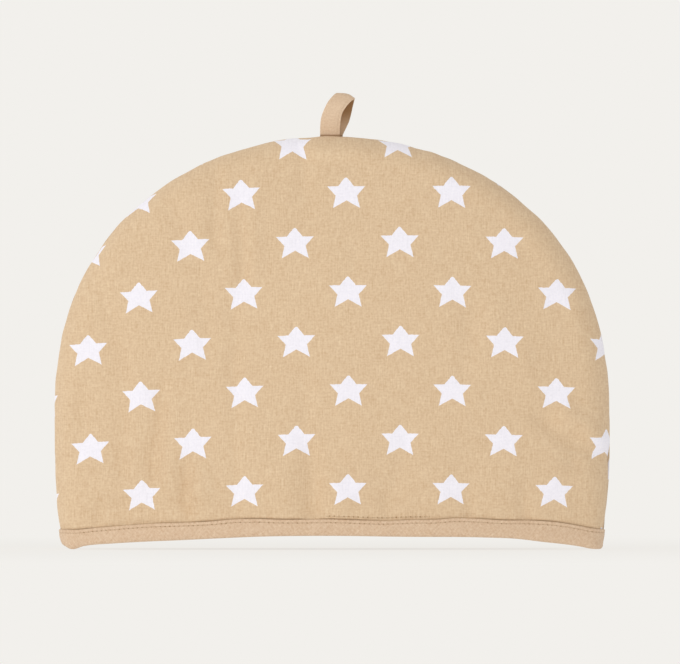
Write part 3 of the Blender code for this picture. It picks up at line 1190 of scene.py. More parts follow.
# ---- the padded panels
@dataclass(frozen=True)
class CoverTrial:
    """Short cloth simulation that finds how a panel's cover gathers where its edges hold it.

    The cover is cut a little bigger than its edges allow, by its slack, so it buckles between
    them, most of all above the hem. It starts from the listed folds, and a share of its moves is
    kept.
    """

    slack: float
    share: float
    stride: int = 4
    frames: int = 20
    bending: float = 8.0
    stretch: float = 15.0
    swelling: float = 0.5
    weight: float = 0.25
    cap: float = 2.2 * MM
    fine_blur: int = 2
    broad_blur: int = 14
    quality: int = 8
    air_damping: float = 2.0
    weld: float = 0.01 * MM

    def moves(self, places: Array, held: Array) -> Array:
        """Run the trial.

        Args:
            places: Grid of places of the cover, as sewn.
            held: Where the grid is held still.

        Returns:
            How far each place of the grid moves outwards, without the broad swelling.
        """
        rows, columns = self._every(held.shape[0] - 1), self._every((held.shape[1] - 1) // 2)
        columns = np.unique(np.concatenate([columns, held.shape[1] - 1 - columns]))
        coarse, fixed = places[np.ix_(rows, columns)], held[np.ix_(rows, columns)]
        piece = sheet_from_grid("cover_trial", coarse, self.weld)
        face_outwards(piece, HOLLOW)
        place = grid_numbers(piece)
        group = piece.vertex_groups.new(name="held")
        group.add(np.nonzero(fixed.reshape(-1)[place])[0].tolist(), 1.0, "REPLACE")
        start, normals = coordinates(piece), np.empty(3 * len(place))
        piece.data.vertices.foreach_get("normal", normals)
        self._settle(piece, group.name)
        moved = ((coordinates(piece) - start) * normals.reshape(-1, 3)).sum(axis=1)
        bpy.data.objects.remove(piece)
        grid = np.full(fixed.size, np.nan)
        grid[place] = moved
        grid = grid.reshape(fixed.shape)
        grid = np.where(np.isnan(grid), grid[:, ::-1], grid)
        wide = np.stack([np.interp(np.arange(held.shape[1]), columns, row) for row in grid])
        full = np.stack([np.interp(np.arange(held.shape[0]), rows, row) for row in wide.T], axis=1)
        full = self._blurred(full, self.fine_blur)
        full = full - self._blurred(full, self.broad_blur)
        LOG.info("cover trial: moves up to %.1f mm", np.abs(full).max() / MM)
        return self.share * np.clip(full, -self.cap, self.cap)

    def _every(self, last: int) -> Array:
        """Every few numbers from 0 up to the last, which is always one of them."""
        return np.append(np.arange(0, last, self.stride), last)

    def _settle(self, piece: Piece, held: str) -> None:
        """Simulate the cover with a group of its vertices held, and keep the result.

        Args:
            piece: The cover.
            held: Name of the group that is held.
        """
        modifier = piece.modifiers.new("cover", "CLOTH")
        cloth = modifier.settings
        cloth.quality = self.quality
        cloth.mass = self.weight
        cloth.air_damping = self.air_damping
        cloth.tension_stiffness = cloth.compression_stiffness = self.stretch
        cloth.bending_stiffness = self.bending
        cloth.vertex_group_mass = held
        cloth.shrink_min = -self.slack
        cloth.use_pressure = True
        cloth.uniform_pressure_force = self.swelling
        cloth.effector_weights.gravity = 0.0
        modifier.collision_settings.use_collision = False
        cache, scene = modifier.point_cache, bpy.context.scene
        cache.frame_start, cache.frame_end = 1, self.frames
        for frame in range(1, self.frames + 1):
            scene.frame_set(frame)
        apply_all(piece)
        scene.frame_set(1)

    def _blurred(self, grid: Array, reach: int) -> Array:
        """The grid averaged over a few places each way; its last row is the panel's middle.

        Args:
            grid: Grid of numbers.
            reach: How many places each way.

        Returns:
            The averages.
        """
        count = 2 * reach + 1
        beyond = grid[-2 : -2 - reach : -1, ::-1]
        tall = np.concatenate([np.repeat(grid[:1], reach, axis=0), grid, beyond])
        tall = sum(tall[start : start + len(grid)] for start in range(count)) / count
        wide = np.pad(tall, ((0, 0), (reach, reach)), mode="edge")
        return sum(wide[:, start : start + grid.shape[1]] for start in range(count)) / count


@dataclass
class PaddedPanel:
    """One wadded panel: printed cotton outside, plain inside, turned over at the dome seam.

    Of its relief, broad, middle and fine are unevenness all over, gather lies above the binding
    and pull lies along the seam. The shift of the print and all that is named _reach, _clear or
    _band is in millimetres. A reach is where something has died away or is whole; a clear is the
    start and the reach of a slow rise; a band is the width and the middle of a bell curve. A least
    is the share that is left of something where it is weakest. The trial's low_clear runs
    downwards, so its start is a height times -1.
    """

    side: Side
    folds: Sequence[SoftFold]
    trial: CoverTrial
    seed: int
    print_shift: Place = (0.0, 0.0)
    hem_cells: int = 34
    outline_cells: int = 310
    field_rings: int = 104
    middle_top: float = 185.0 * MM
    thickness: float = 7.0 * MM
    seam_thickness: float = 3.0 * MM
    hem_thickness: float = 4.5 * MM
    inner_share: float = 0.3
    broad: Ripple = Ripple(1.2, 58.0, 70.0)
    middle: Ripple = Ripple(0.5, 17.0, 36.0)
    fine: Ripple = Ripple(0.17, 7.0, 14.0)
    gather: Ripple = Ripple(0.6, 4.6, 30.0)
    pull: Ripple = Ripple(0.38, 8.5, 16.0)
    pull_centre: float = 60.0 * MM
    pull_radius: float = 150.0 * MM
    edge_reach: float = 14.0
    gather_reach: float = 6.0
    pull_reach: float = 7.0
    fold_least: float = 0.35
    line_least: float = 0.1
    seam_swell: float = 0.5 * MM
    seam_swell_band: Place = (4.5, 11.0)
    seam_swell_clear: Place = (20.0, 30.0)
    hem_swell: float = 0.50 * MM
    hem_swell_band: Place = (3.6, 3.4)
    groove: float = 1.3 * MM
    groove_band: Place = (1.2, 0.0)
    groove_clear: Place = (16.0, 20.0)
    tuck: float = 0.42 * MM
    tuck_band: Place = (0.75, 0.0)
    tuck_reach: float = 8.0
    binding_clear: Place = (-0.6, 2.3)
    trial_hem: float = 14.0 * MM
    trial_edge: float = 1.0 * MM
    trial_relief_reach: float = 12.0
    trial_clear: Place = (16.0, 9.0)
    trial_low_clear: Place = (-100.0, 60.0)
    trial_least: float = 0.25
    trial_reach: float = 10.0
    # Painted shade along the seam, and the painted shadow under the loop's foot: where each lies
    # and how wide.
    seam_shade_band: Place = (0.8, 0.0)
    loop_foot_middle: float = -1.3 * MM
    loop_foot_half_width: float = 5.6 * MM
    loop_beside_band: Place = (0.7, 0.0)
    loop_out_band: Place = (1.6, 0.0)
    fold_limit: float = 6.0 * MM
    fill: float = 0.35
    weld: float = 0.002 * MM

    @property
    def name(self) -> str:
        """Name of the panel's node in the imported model."""
        return f"{self.side.name.lower()}_panel"

    def build(self) -> Piece:
        """Make the panel.

        Returns:
            The finished mesh.
        """
        x, h, distance = self._rings()
        places = SHAPE.placed(x, self.side.value * SHAPE.half_depth(x, h, distance), h)
        gathers = self._gathers(places, x, h, distance)
        piece = sheet_from_grid(f"{self.name}_cloth", places, self.weld)
        face_outwards(piece, HOLLOW)
        place = grid_numbers(piece)
        x, h, distance, gathers = (part.reshape(-1)[place] for part in (x, h, distance, gathers))
        thicken(piece, self.thickness, self._thickness_share(distance, h))
        self._raise_relief(piece, x, h, self._relief(x, h, distance) + gathers)
        self._mark_cloth(piece, x, h, distance)
        finish_piece(piece, PRINTED_COTTON, [self.name])
        return piece

    def _rings(self) -> tuple[Array, Array, Array]:
        """Grid of places in rings from the outline to the middle: x, h and distance in.

        Returns:
            The three grids, rings by places round each ring.
        """
        outline = SHAPE.outline(self.hem_cells, self.outline_cells)
        count = len(outline)
        along = np.gradient(outline, axis=0)
        along /= np.hypot(*along.T)[:, None]
        normals = np.stack([along[:, 1], -along[:, 0]], axis=1)
        normals[0], normals[-1] = (1.0, 0.0), (-1.0, 0.0)
        steps = SHAPE.edge_steps()
        edge = outline[None] + normals[None] * steps[:, None, None]
        index = np.minimum(np.arange(count), np.arange(count)[::-1])
        low, fine = SHAPE.cloth_low, SHAPE.fine_hem
        climb = np.maximum(index - self.hem_cells, 0) / (0.5 * self.outline_cells)
        height = low + fine * np.minimum(index / self.hem_cells, 1.0)
        height = height + (self.middle_top - low - fine) * climb
        middle = np.stack([0.0 * height, height], axis=1)
        share = np.linspace(0.0, 1.0, self.field_rings + 1)[1:, None, None]
        inner = blend(edge[-1][None], middle[None], share)
        reach = np.hypot(*(edge[-1] - middle).T)
        edge_distance = np.repeat(steps[:, None], count, axis=1)
        inner_distance = steps[-1] + share[:, :, 0] * reach[None]
        grid = np.concatenate([edge, inner])
        return grid[..., 0], grid[..., 1], np.concatenate([edge_distance, inner_distance])

    def _thickness_share(self, distance: Array, h: Array) -> Array:
        """Share of the full thickness, less at the seam and inside the binding.

        Args:
            distance: How far the places lie in from the outline.
            h: Heights above the hem line.

        Returns:
            The shares.
        """
        in_from_seam = smooth_step(distance / SHAPE.seam_reach)
        above_hem = smooth_step((h - SHAPE.puff_start) / SHAPE.puff_rise)
        near_seam = blend(self.seam_thickness, self.thickness, in_from_seam)
        near_hem = blend(self.hem_thickness, self.thickness, above_hem)
        return np.minimum(near_seam, near_hem) / self.thickness

    def _relief(self, x: Array, h: Array, distance: Array) -> Array:
        """How far the outer face lies out from its plain shape.

        Args:
            x: Places from side to side.
            h: Heights above the hem line.
            distance: How far the places lie in from the outline.

        Returns:
            The distances.
        """
        z = h + SHAPE.lift_at(x, h)
        above = z - read_table(FOLD_LINE, x)
        height = np.maximum(above, 0.0)
        edge = ease(distance, 0.0, self.edge_reach)
        relief = self.broad.height(x, h, self.seed) + self.middle.height(x, h, self.seed + 1)
        relief = relief * edge + self.fine.height(x, h, self.seed + 2)
        for fold in self.folds:
            relief = relief + fold.height(x, z) * blend(self.fold_least, 1.0, edge)
        swell = bell(distance, *self.seam_swell_band) * ease(h, *self.seam_swell_clear)
        relief = relief + self.seam_swell * swell
        gather = self.gather.height(x, h, self.seed + 3)
        relief = relief + gather * fading(height, self.gather_reach)
        relief = relief + self.hem_swell * bell(height, *self.hem_swell_band) * edge
        along = np.arctan2(h - self.pull_centre, x) * self.pull_radius
        pull = self.pull.height(along, distance, self.seed + 4)
        relief = relief + pull * fading(distance, self.pull_reach)
        tuck = self.tuck * bell(above, *self.tuck_band)
        tuck = tuck * blend(self.line_least, 1.0, ease(distance, 0.0, self.tuck_reach))
        groove = self.groove * bell(SHAPE.out_of_seam(x, h, distance), *self.groove_band)
        groove = groove * blend(self.line_least, 1.0, ease(z, *self.groove_clear))
        return relief * ease(above, *self.binding_clear) - tuck - groove

    def _gathers(self, places: Array, x: Array, h: Array, distance: Array) -> Array:
        """What the cover's trial adds to the listed folds, at each place of the grid.

        Args:
            places: Grid of places of the outer face.
            x: Places from side to side.
            h: Heights above the hem line.
            distance: How far the places lie in from the outline.

        Returns:
            Distances outwards.
        """
        way = np.cross(np.gradient(places, axis=0), np.gradient(places, axis=1))
        way /= np.linalg.norm(way, axis=-1)[..., None] + 1e-12
        way *= np.sign((way * (places - HOLLOW)).sum(axis=-1))[..., None]
        clear = np.clip(distance / (self.trial_relief_reach * MM), 0.0, 1.0)
        lift = self._relief(x, h, distance) * clear
        held = (distance < self.trial_edge) | (h < self.trial_hem)
        moves = self.trial.moves(places + way * lift[..., None], held)
        low = blend(self.trial_least, 1.0, ease(-h, *self.trial_low_clear))
        clear = ease(h, *self.trial_clear) * ease(distance, 0.0, self.trial_reach)
        return moves * low * clear

    def _raise_relief(self, piece: Piece, x: Array, h: Array, relief: Array) -> None:
        """Move the vertices by the relief, the inner face by less, and keep clear of the seam.

        Args:
            piece: The panel, with its thickness.
            x: Places from side to side.
            h: Heights above the hem line.
            relief: How far each place moves out.
        """
        outer, inner = two_faces(piece)
        way = outer - inner
        way /= np.linalg.norm(way, axis=1)[:, None]
        move = way * relief[:, None]
        places = np.concatenate([outer + move, inner + move * self.inner_share])
        gap = np.tile(SHAPE.half_gap(x, h), 2)
        places[:, 1] = self.side.value * np.maximum(self.side.value * places[:, 1], gap)
        move_to(piece, places)

    def _mark_cloth(self, piece: Piece, x: Array, h: Array, distance: Array) -> None:
        """Keep each vertex's place on the flat cloth, and the shade painted on it by the seam and
        loop.

        Args:
            piece: The panel, with its thickness.
            x: Places from side to side.
            h: Heights above the hem line.
            distance: How far the places lie in from the outline.
        """
        share = 1.0 - np.clip(distance / SHAPE.edge_roll, 0.0, 1.0)
        extra = SHAPE.edge_roll * (np.arcsin(share) - share)
        slope = SHAPE.dome_rise(h) ** (SHAPE.dome_power - 1.0)
        out_x = x / SHAPE.half_width**2
        out_h = 0.5 * SHAPE.dome_power * slope / (SHAPE.top - SHAPE.widest)
        size = np.hypot(out_x, out_h) + 1e-9
        cloth = np.stack([x + extra * out_x / size, h + extra * out_h / size], axis=1)
        lift = SHAPE.lift_at(x, h)
        cloth[:, 1] += lift
        cloth[:, 0] *= -self.side.value
        cloth += np.array(self.print_shift) * MM
        faces = [np.column_stack([cloth, np.full(len(x), outer)]) for outer in (1.0, 0.0)]
        write_attribute(piece, "cloth", np.concatenate(faces))
        # Painted shade along the crease of the seam, and painted shadow under the loop's foot.
        out = SHAPE.out_of_seam(x, h, distance)
        beside = np.abs(x - self.loop_foot_middle) - self.loop_foot_half_width
        loop_foot_shadow = bell(np.maximum(beside, 0.0), *self.loop_beside_band)
        loop_foot_shadow = loop_foot_shadow * bell(out, *self.loop_out_band) * (h > SHAPE.widest)
        painted_shade = np.maximum(bell(out, *self.seam_shade_band), loop_foot_shadow)
        write_attribute(piece, "painted_shade", np.concatenate([painted_shade, 0.0 * painted_shade]))
        above = np.clip(h + lift - read_table(FOLD_LINE, x), -self.fold_limit, self.fold_limit)
        write_attribute(piece, "above_fold", np.tile(above, 2))


# ---- the hem binding
@dataclass(frozen=True)
class ProfilePoint:
    """One point of the binding's section.

    Attributes:
        out: How far it lies outside the panel's outer face, in millimetres.
        share: Share of the way from the lower edge to the folded edge.
        rise: Height added to that, in millimetres.
    """

    out: float
    share: float
    rise: float


# The section from the edge turned under outside, round the hem, to the edge inside.
PROFILE = tuple(
    ProfilePoint(*row)
    for row in (
        (0.3, 1.0, -5.2), (0.28, 1.0, -3.4), (0.28, 1.0, -1.6), (0.36, 1.0, -0.55),
        (0.64, 1.0, -0.2), (0.95, 1.0, -0.32), (1.1, 1.0, -0.8), (1.0, 1.0, -1.45),
        (0.78, 1.0, -2.0), (0.94, 1.0, -2.55), (1.18, 1.0, -3.4), (1.34, 0.5, 0.6),
        (1.42, 0.3, 0.7), (1.38, 0.0, 3.2), (1.16, 0.0, 2.0), (0.7, 0.0, 1.1), (-0.05, 0.0, 0.5),
        (-1.0, 0.0, 0.28), (-2.4, 0.0, 0.25), (-3.8, 0.0, 0.3), (-4.8, 0.0, 0.6),
        (-5.5, 0.0, 1.3), (-5.85, 0.0, 2.4), (-5.95, 0.3, 0.7), (-5.9, 0.5, 0.6),
        (-5.75, 1.0, -3.6), (-5.55, 1.0, -2.3), (-5.8, 1.0, -1.0), (-5.55, 1.0, -0.3),
        (-5.15, 1.0, -0.9),
    )
)
# Rows of the section: the last one of the edge turned under, its fold and its stitching.
TURNED_ROW, FOLD_ROW, STITCH_ROW = 4, 5, 8
# How freely each row puckers, from 0 for held to 1.
PUCKER_SHARES: tuple[Place, ...] = (
    (0, 0.0), (5, 0.2), (7, 0.5), (9, 0.6), (11, 1.0), (15, 1.0), (17, 0.6), (18, 0.3), (29, 0.3),
)


@dataclass
class HemBinding:
    """Plain cotton strip folded over the hem, its edge turned under and top-stitched.

    height, end_reach and end_out are in millimetres. At the cosy's two ends, what lies further out
    than end_out is flattened by the share end_flat.
    """

    cloth: float = 0.5 * MM
    # Share of painted shade on the last row of the turned-under edge.
    turned_shade: float = 0.25
    step: float = 1.25 * MM
    slanting: Ripple = Ripple(0.36, 2.7, 9.0)
    broad: Ripple = Ripple(0.22, 26.0, 14.0)
    slant: Place = (0.9, 0.5)
    back_wave: float = 0.5 * MM
    back_wave_length: float = 21.0 * MM
    height: float = 11.0
    middle_height: float = 6.0 * MM
    inside_height: float = 12.0 * MM
    end_reach: float = 7.0
    end_out: float = 0.45
    end_flat: float = 0.5
    lowest: float = 0.27 * MM
    stitched: Place = (-159.0 * MM, 169.5 * MM)
    seed: int = 70
    weld: float = 0.002 * MM
    grid: Array | None = None
    run: Array | None = None

    def build(self) -> Piece:
        """Make the binding.

        Returns:
            The finished mesh.
        """
        stations = self._stations()
        self.grid = self._puckered(np.stack([self._row(point, *stations) for point in PROFILE]))
        closed = np.concatenate([self.grid, self.grid[:, :1]], axis=1)
        piece = sheet_from_grid("hem_binding_cloth", closed, self.weld)
        self._mark_cloth(piece, closed)
        face_outwards(piece, (0.0, 0.0, self.inside_height))
        thicken(piece, self.cloth)
        self._centre(piece)
        finish_piece(piece, BINDING_COTTON, ["hem_binding"])
        return piece

    def _stations(self) -> tuple[Array, Array, Array]:
        """Stations round the hem: share of the half width, distance in, and side.

        Returns:
            The three rows of numbers, front from left to right, then back.
        """
        width = float(SHAPE.width_at(np.array(self.middle_height)))
        edge = SHAPE.edge_steps()
        count = round((2.0 * (width - edge[-1])) / self.step)
        straight = np.linspace(edge[-1], 2.0 * width - edge[-1], count + 1)[1:-1]
        far = 2.0 * width - edge[::-1]
        distance = np.concatenate([edge, straight, far])
        share = 1.0 - distance / width
        distance = np.minimum(distance, 2.0 * width - distance)
        way = np.repeat([Side.FRONT.value, Side.BACK.value], [len(share), len(share) - 2])
        share, distance = (np.concatenate([part, part[-2:0:-1]]) for part in (share, distance))
        return share, distance, way

    def _row(self, point: ProfilePoint, share: Array, distance: Array, way: Array) -> Array:
        """Places of one profile point at every station.

        Args:
            point: The profile point.
            share: Share of the half width at each station.
            distance: How far each station lies in from the outline.
            way: Side of each station.

        Returns:
            The places.
        """
        height = max(point.share * self.height + point.rise, 0.0) * MM
        height = np.full(share.shape, height)
        x = share * SHAPE.width_at(height)
        y = way * SHAPE.half_depth(x, height, distance)
        y[distance < 1e-9] = 0.0
        plan = np.stack([x, y], axis=1)
        along = np.roll(plan, -1, axis=0) - np.roll(plan, 1, axis=0)
        along /= np.hypot(*along.T)[:, None]
        outwards = np.stack([-along[:, 1], along[:, 0]], axis=1)
        outwards *= np.sign((outwards * plan).sum())
        end = 1.0 - ease(distance, 0.0, self.end_reach)
        out = point.out - self.end_flat * end * max(point.out - self.end_out, 0.0)
        plan = plan + outwards * (out * MM)[:, None]
        low, high = (read_table(table, plan[:, 0]) for table in (LOWER_LINE, FOLD_LINE))
        wave = soft_noise(plan[:, 0] / self.back_wave_length, 0.5, self.seed + 5)
        high = high + 0.5 * (way + 1.0) * self.back_wave * wave
        return np.column_stack([plan, blend(low, high, point.share) + point.rise * MM])

    def _puckered(self, grid: Array) -> Array:
        """The grid with the small slanting puckers that the stitching pulls into the strip.

        Args:
            grid: Places of the strip, section by stations.

        Returns:
            The moved places.
        """
        steps = np.linalg.norm(np.roll(grid[STITCH_ROW], -1, axis=0) - grid[STITCH_ROW], axis=1)
        self.run = np.cumsum(steps)
        along = self.run[None] + 0.0 * grid[..., 0]
        z = grid[..., 2]
        lean, drift = self.slant
        move = self.slanting.height(along + lean * z, z - drift * along, self.seed)
        move = move + self.broad.height(along, z, self.seed + 1)
        held = np.interp(np.arange(len(grid)), *zip(*PUCKER_SHARES))
        outwards = np.zeros_like(grid)
        way = np.roll(grid, -1, axis=1) - np.roll(grid, 1, axis=1)
        outwards[..., 0], outwards[..., 1] = -way[..., 1], way[..., 0]
        outwards /= np.linalg.norm(outwards, axis=-1)[..., None]
        outwards *= np.sign((outwards[STITCH_ROW] * grid[STITCH_ROW]).sum())
        grid = grid + outwards * (move * held[:, None])[..., None]
        grid[..., 2] = np.maximum(grid[..., 2], self.lowest)
        return grid

    def _mark_cloth(self, piece: Piece, grid: Array) -> None:
        """Keep each vertex's place along and across the strip, and the shade painted on its turned
        edge.

        Args:
            piece: The strip, before its thickness.
            grid: Grid that it was made from.
        """
        down = path_lengths(grid)
        down = down - down[FOLD_ROW]
        along = np.concatenate([self.run, self.run[:1]])[None] + 0.0 * down
        # Painted shade: full on the hidden part of the turned-under edge, a little on its last row.
        rows = (TURNED_ROW - 1, TURNED_ROW, FOLD_ROW)
        shades = (1.0, self.turned_shade, 0.0)
        deep_shade = np.interp(np.arange(len(grid)), rows, shades)[:, None] + 0.0 * down
        place = grid_numbers(piece)
        kept = (part.reshape(-1)[place] for part in (grid[..., 0], along, down, deep_shade))
        x, along, down, deep_shade = kept
        start, end = self.stitched
        sewn = smooth_step((x - start) / MM) * smooth_step((end - x) / MM)
        write_attribute(piece, "cloth", np.column_stack([along, down, sewn]))
        write_attribute(piece, "painted_shade", deep_shade)

    def _centre(self, piece: Piece) -> None:
        """Move the thickened strip out so that its middle lies on the grid.

        Args:
            piece: The strip, with its thickness.
        """
        outer, inner = two_faces(piece)
        move = 0.5 * (outer - inner)
        places = np.concatenate([outer + move, inner + move])
        places[:, 2] = np.maximum(places[:, 2], 0.0)
        move_to(piece, places)

    def face_line(self, side: Side) -> Array:
        """Line of the top-stitching on the outer face, from left to right.

        Args:
            side: Front or back of the cosy.

        Returns:
            Places along the line.
        """
        row = self.grid[STITCH_ROW]
        line = row[row[:, 1] * side.value > 0.0]
        return line[np.argsort(line[:, 0])]


# ---- the hanging loop
@dataclass
class HangingLoop:
    """Folded cotton tape, both ends caught in the seam; it leans to the right as it climbs.

    The two edges are tables of (x, y, z) in millimetres, from the front foot to the back foot.
    Each _clear is the height at which something starts and its reach above that, and foot_band the
    width and the middle of the wrinkles over the foot, all in millimetres, as are the widths at
    the closing line, the size of the unevenness, and where the hollow starts past the crown and
    its reach. A swell is a share of the tape's thickness and a shade a share of the deepest one.
    """

    left_edge: tuple[Point, ...] = (
        (-7.5, -0.9, 256.5), (-7.5, -1.3, 260.4), (-7.4, -2.7, 266.5), (-6.8, -3.9, 271.4),
        (-5.2, -4.5, 276.2), (-2.6, -4.2, 281.4), (0.4, -2.6, 285.0), (2.6, 0.0, 286.5),
        (3.4, 2.6, 285.2), (2.0, 4.2, 281.0), (0.4, 4.5, 275.0), (-1.5, 3.7, 269.0),
        (-4.0, 2.3, 264.0), (-5.6, 1.2, 260.4), (-5.9, 0.9, 256.5),
    )
    right_edge: tuple[Point, ...] = (
        (4.9, -0.9, 256.5), (4.9, -1.2, 260.4), (5.1, -2.4, 266.3), (5.6, -3.3, 270.6),
        (6.6, -3.6, 274.6), (8.9, -3.3, 278.3), (11.6, -2.0, 281.4), (14.1, 0.2, 283.2),
        (14.0, 2.4, 282.2), (13.1, 3.7, 278.6), (12.1, 3.9, 274.0), (10.7, 3.2, 269.0),
        (8.4, 2.1, 264.0), (6.8, 1.2, 260.4), (6.5, 0.9, 256.5),
    )
    curve_steps: int = 24
    steps: int = 84
    columns: int = 20
    thickness: float = 1.05 * MM
    edge_round: float = 0.36 * MM
    edge_facets: int = 3
    inside: Point = (4.0 * MM, 0.0, 268.0 * MM)
    closing_line: float = 1.5 * MM
    line_width: float = 0.5
    line_swell: float = -0.12
    # Painted shade along the closing line: its width and strength.
    line_shade_width: float = 0.28
    line_shade: float = 0.22
    crown_swell: float = 0.14
    uneven_swell: float = 0.07
    uneven_size: Place = (5.0, 7.0)
    crown_bulge: float = 1.35 * MM
    crown_clear: Place = (277.0, 8.0)
    foot_wrinkle: float = 0.17 * MM
    foot_wrinkle_length: float = 0.36 * MM
    foot_band: Place = (2.6, 8.0)
    # Painted shade where the tape meets the seam, on its crown and inside the loop.
    seam_clear: Place = (260.2, 1.3)
    seam_shade: float = 0.85
    shade_clear: Place = (278.0, 6.0)
    crown_shade: float = 0.12
    hollow_clear: Place = (264.0, 13.0)
    hollow_shade: float = 0.5
    hollow_start: float = 0.5
    hollow_reach: float = 4.0
    seed: int = 91
    weld: float = 0.001 * MM

    def build(self) -> Piece:
        """Make the loop.

        Returns:
            The finished mesh.
        """
        left, right = self._smooth(self.left_edge), self._smooth(self.right_edge)
        share = np.linspace(0.0, 1.0, self.columns + 1)[:, None, None]
        grid = blend(left[None], right[None], share)
        bulge = (4.0 * share * (1.0 - share) * (0.5 + share))[..., 0]
        grid[..., 2] += self.crown_bulge * ease(grid[..., 2], *self.crown_clear) * bulge
        piece = sheet_from_grid("hanging_loop_tape", grid, self.weld)
        face_outwards(piece, self.inside)
        width = float(np.linalg.norm(right - left, axis=1).mean())
        length = float(np.linalg.norm(np.diff(0.5 * (left + right), axis=0), axis=1).sum())
        self._mark_cloth(piece, grid, width, length)
        thicken(piece, self.thickness)
        self._centre_and_crease(piece, width)
        bevel = piece.modifiers.new("soft edge", "BEVEL")
        bevel.width, bevel.segments = self.edge_round, self.edge_facets
        bevel.limit_method, bevel.angle_limit = "ANGLE", SMOOTH_ANGLE
        apply_all(piece)
        finish_piece(piece, TAPE_COTTON, ["hanging_loop"])
        return piece

    def _smooth(self, edge: Sequence[Point]) -> Array:
        """Even points on a smooth curve through an edge's places.

        Args:
            edge: Places of the edge, in millimetres.

        Returns:
            The points, in metres.
        """
        points = np.array(edge) * MM
        first, last = 2 * points[0] - points[1], 2 * points[-1] - points[-2]
        padded = np.concatenate([[first], points, [last]])
        curve = []
        for before, start, end, after in zip(padded, padded[1:], padded[2:], padded[3:]):
            pace = end - before
            bend = 2 * before - 5 * start + 4 * end - after
            turn = 3 * start - before - 3 * end + after
            for t in np.linspace(0.0, 1.0, self.curve_steps, endpoint=False):
                curve.append(0.5 * (2 * start + pace * t + bend * t**2 + turn * t**3))
        curve = np.array(curve + [points[-1]])
        lengths = path_lengths(curve)
        return points_at(np.linspace(0.0, lengths[-1], self.steps + 1), lengths, curve)

    def _mark_cloth(self, piece: Piece, grid: Array, width: float, length: float) -> None:
        """Keep each vertex's place on the tape, and the painted shade at its foot, line and crown.

        Args:
            piece: The tape, before its thickness.
            grid: Grid that it was made from.
            width: Width of the tape.
            length: Length of the tape.
        """
        place = grid_numbers(piece)
        column, row = place // (self.steps + 1), place % (self.steps + 1)
        across, along = column / self.columns * width, row / self.steps * length
        write_attribute(piece, "cloth", np.column_stack([across, along, np.ones(len(place))]))
        z = grid[..., 2].reshape(-1)[place]
        # Painted shade where the tape goes into the seam, along its closing line and on its crown.
        deep_shade = self.seam_shade * (1.0 - ease(z, *self.seam_clear))
        line = bell(across - (width - self.closing_line), self.line_shade_width)
        line = self.line_shade * line
        crown = self.crown_shade * ease(z, *self.shade_clear)
        write_attribute(piece, "painted_shade", np.maximum(np.maximum(deep_shade, line), crown))

    def _centre_and_crease(self, piece: Piece, width: float) -> None:
        """Centre the tape, press its closing line in on both faces, and paint shade inside the
        loop.

        Args:
            piece: The tape, with its thickness.
            width: Width of the tape.
        """
        outer, inner = two_faces(piece)
        half, way = len(outer), outer - inner
        across, along, _ = read_attribute(piece, "cloth")[:half].T
        line = bell(across - (width - self.closing_line), self.line_width)
        crown = np.maximum(np.sin(np.pi * across / width), 0.0) ** 0.5
        wide, long = self.uneven_size
        uneven = soft_noise(across / (wide * MM), along / (long * MM), self.seed)
        ripple = np.sin(along / self.foot_wrinkle_length) * bell(along, *self.foot_band) * crown
        ripple = ripple * self.foot_wrinkle / self.thickness
        swell = self.crown_swell * crown + self.line_swell * line
        swell = (swell + self.uneven_swell * uneven + ripple)[:, None]
        outer, inner = outer + way * (0.5 + swell), inner + way * (0.5 - swell)
        move_to(piece, np.concatenate([outer, inner]))
        # Painted shade on the inner face of the back leg, darker towards its top.
        painted_shade = read_attribute(piece, "painted_shade")
        past_crown = along - 0.5 * along.max()
        back = ease(past_crown, self.hollow_start, self.hollow_reach)
        hollow = back * blend(self.hollow_shade, 1.0, ease(inner[:, 2], *self.hollow_clear))
        painted_shade[half:] = np.maximum(painted_shade[half:], hollow)
        write_attribute(piece, "painted_shade", painted_shade)


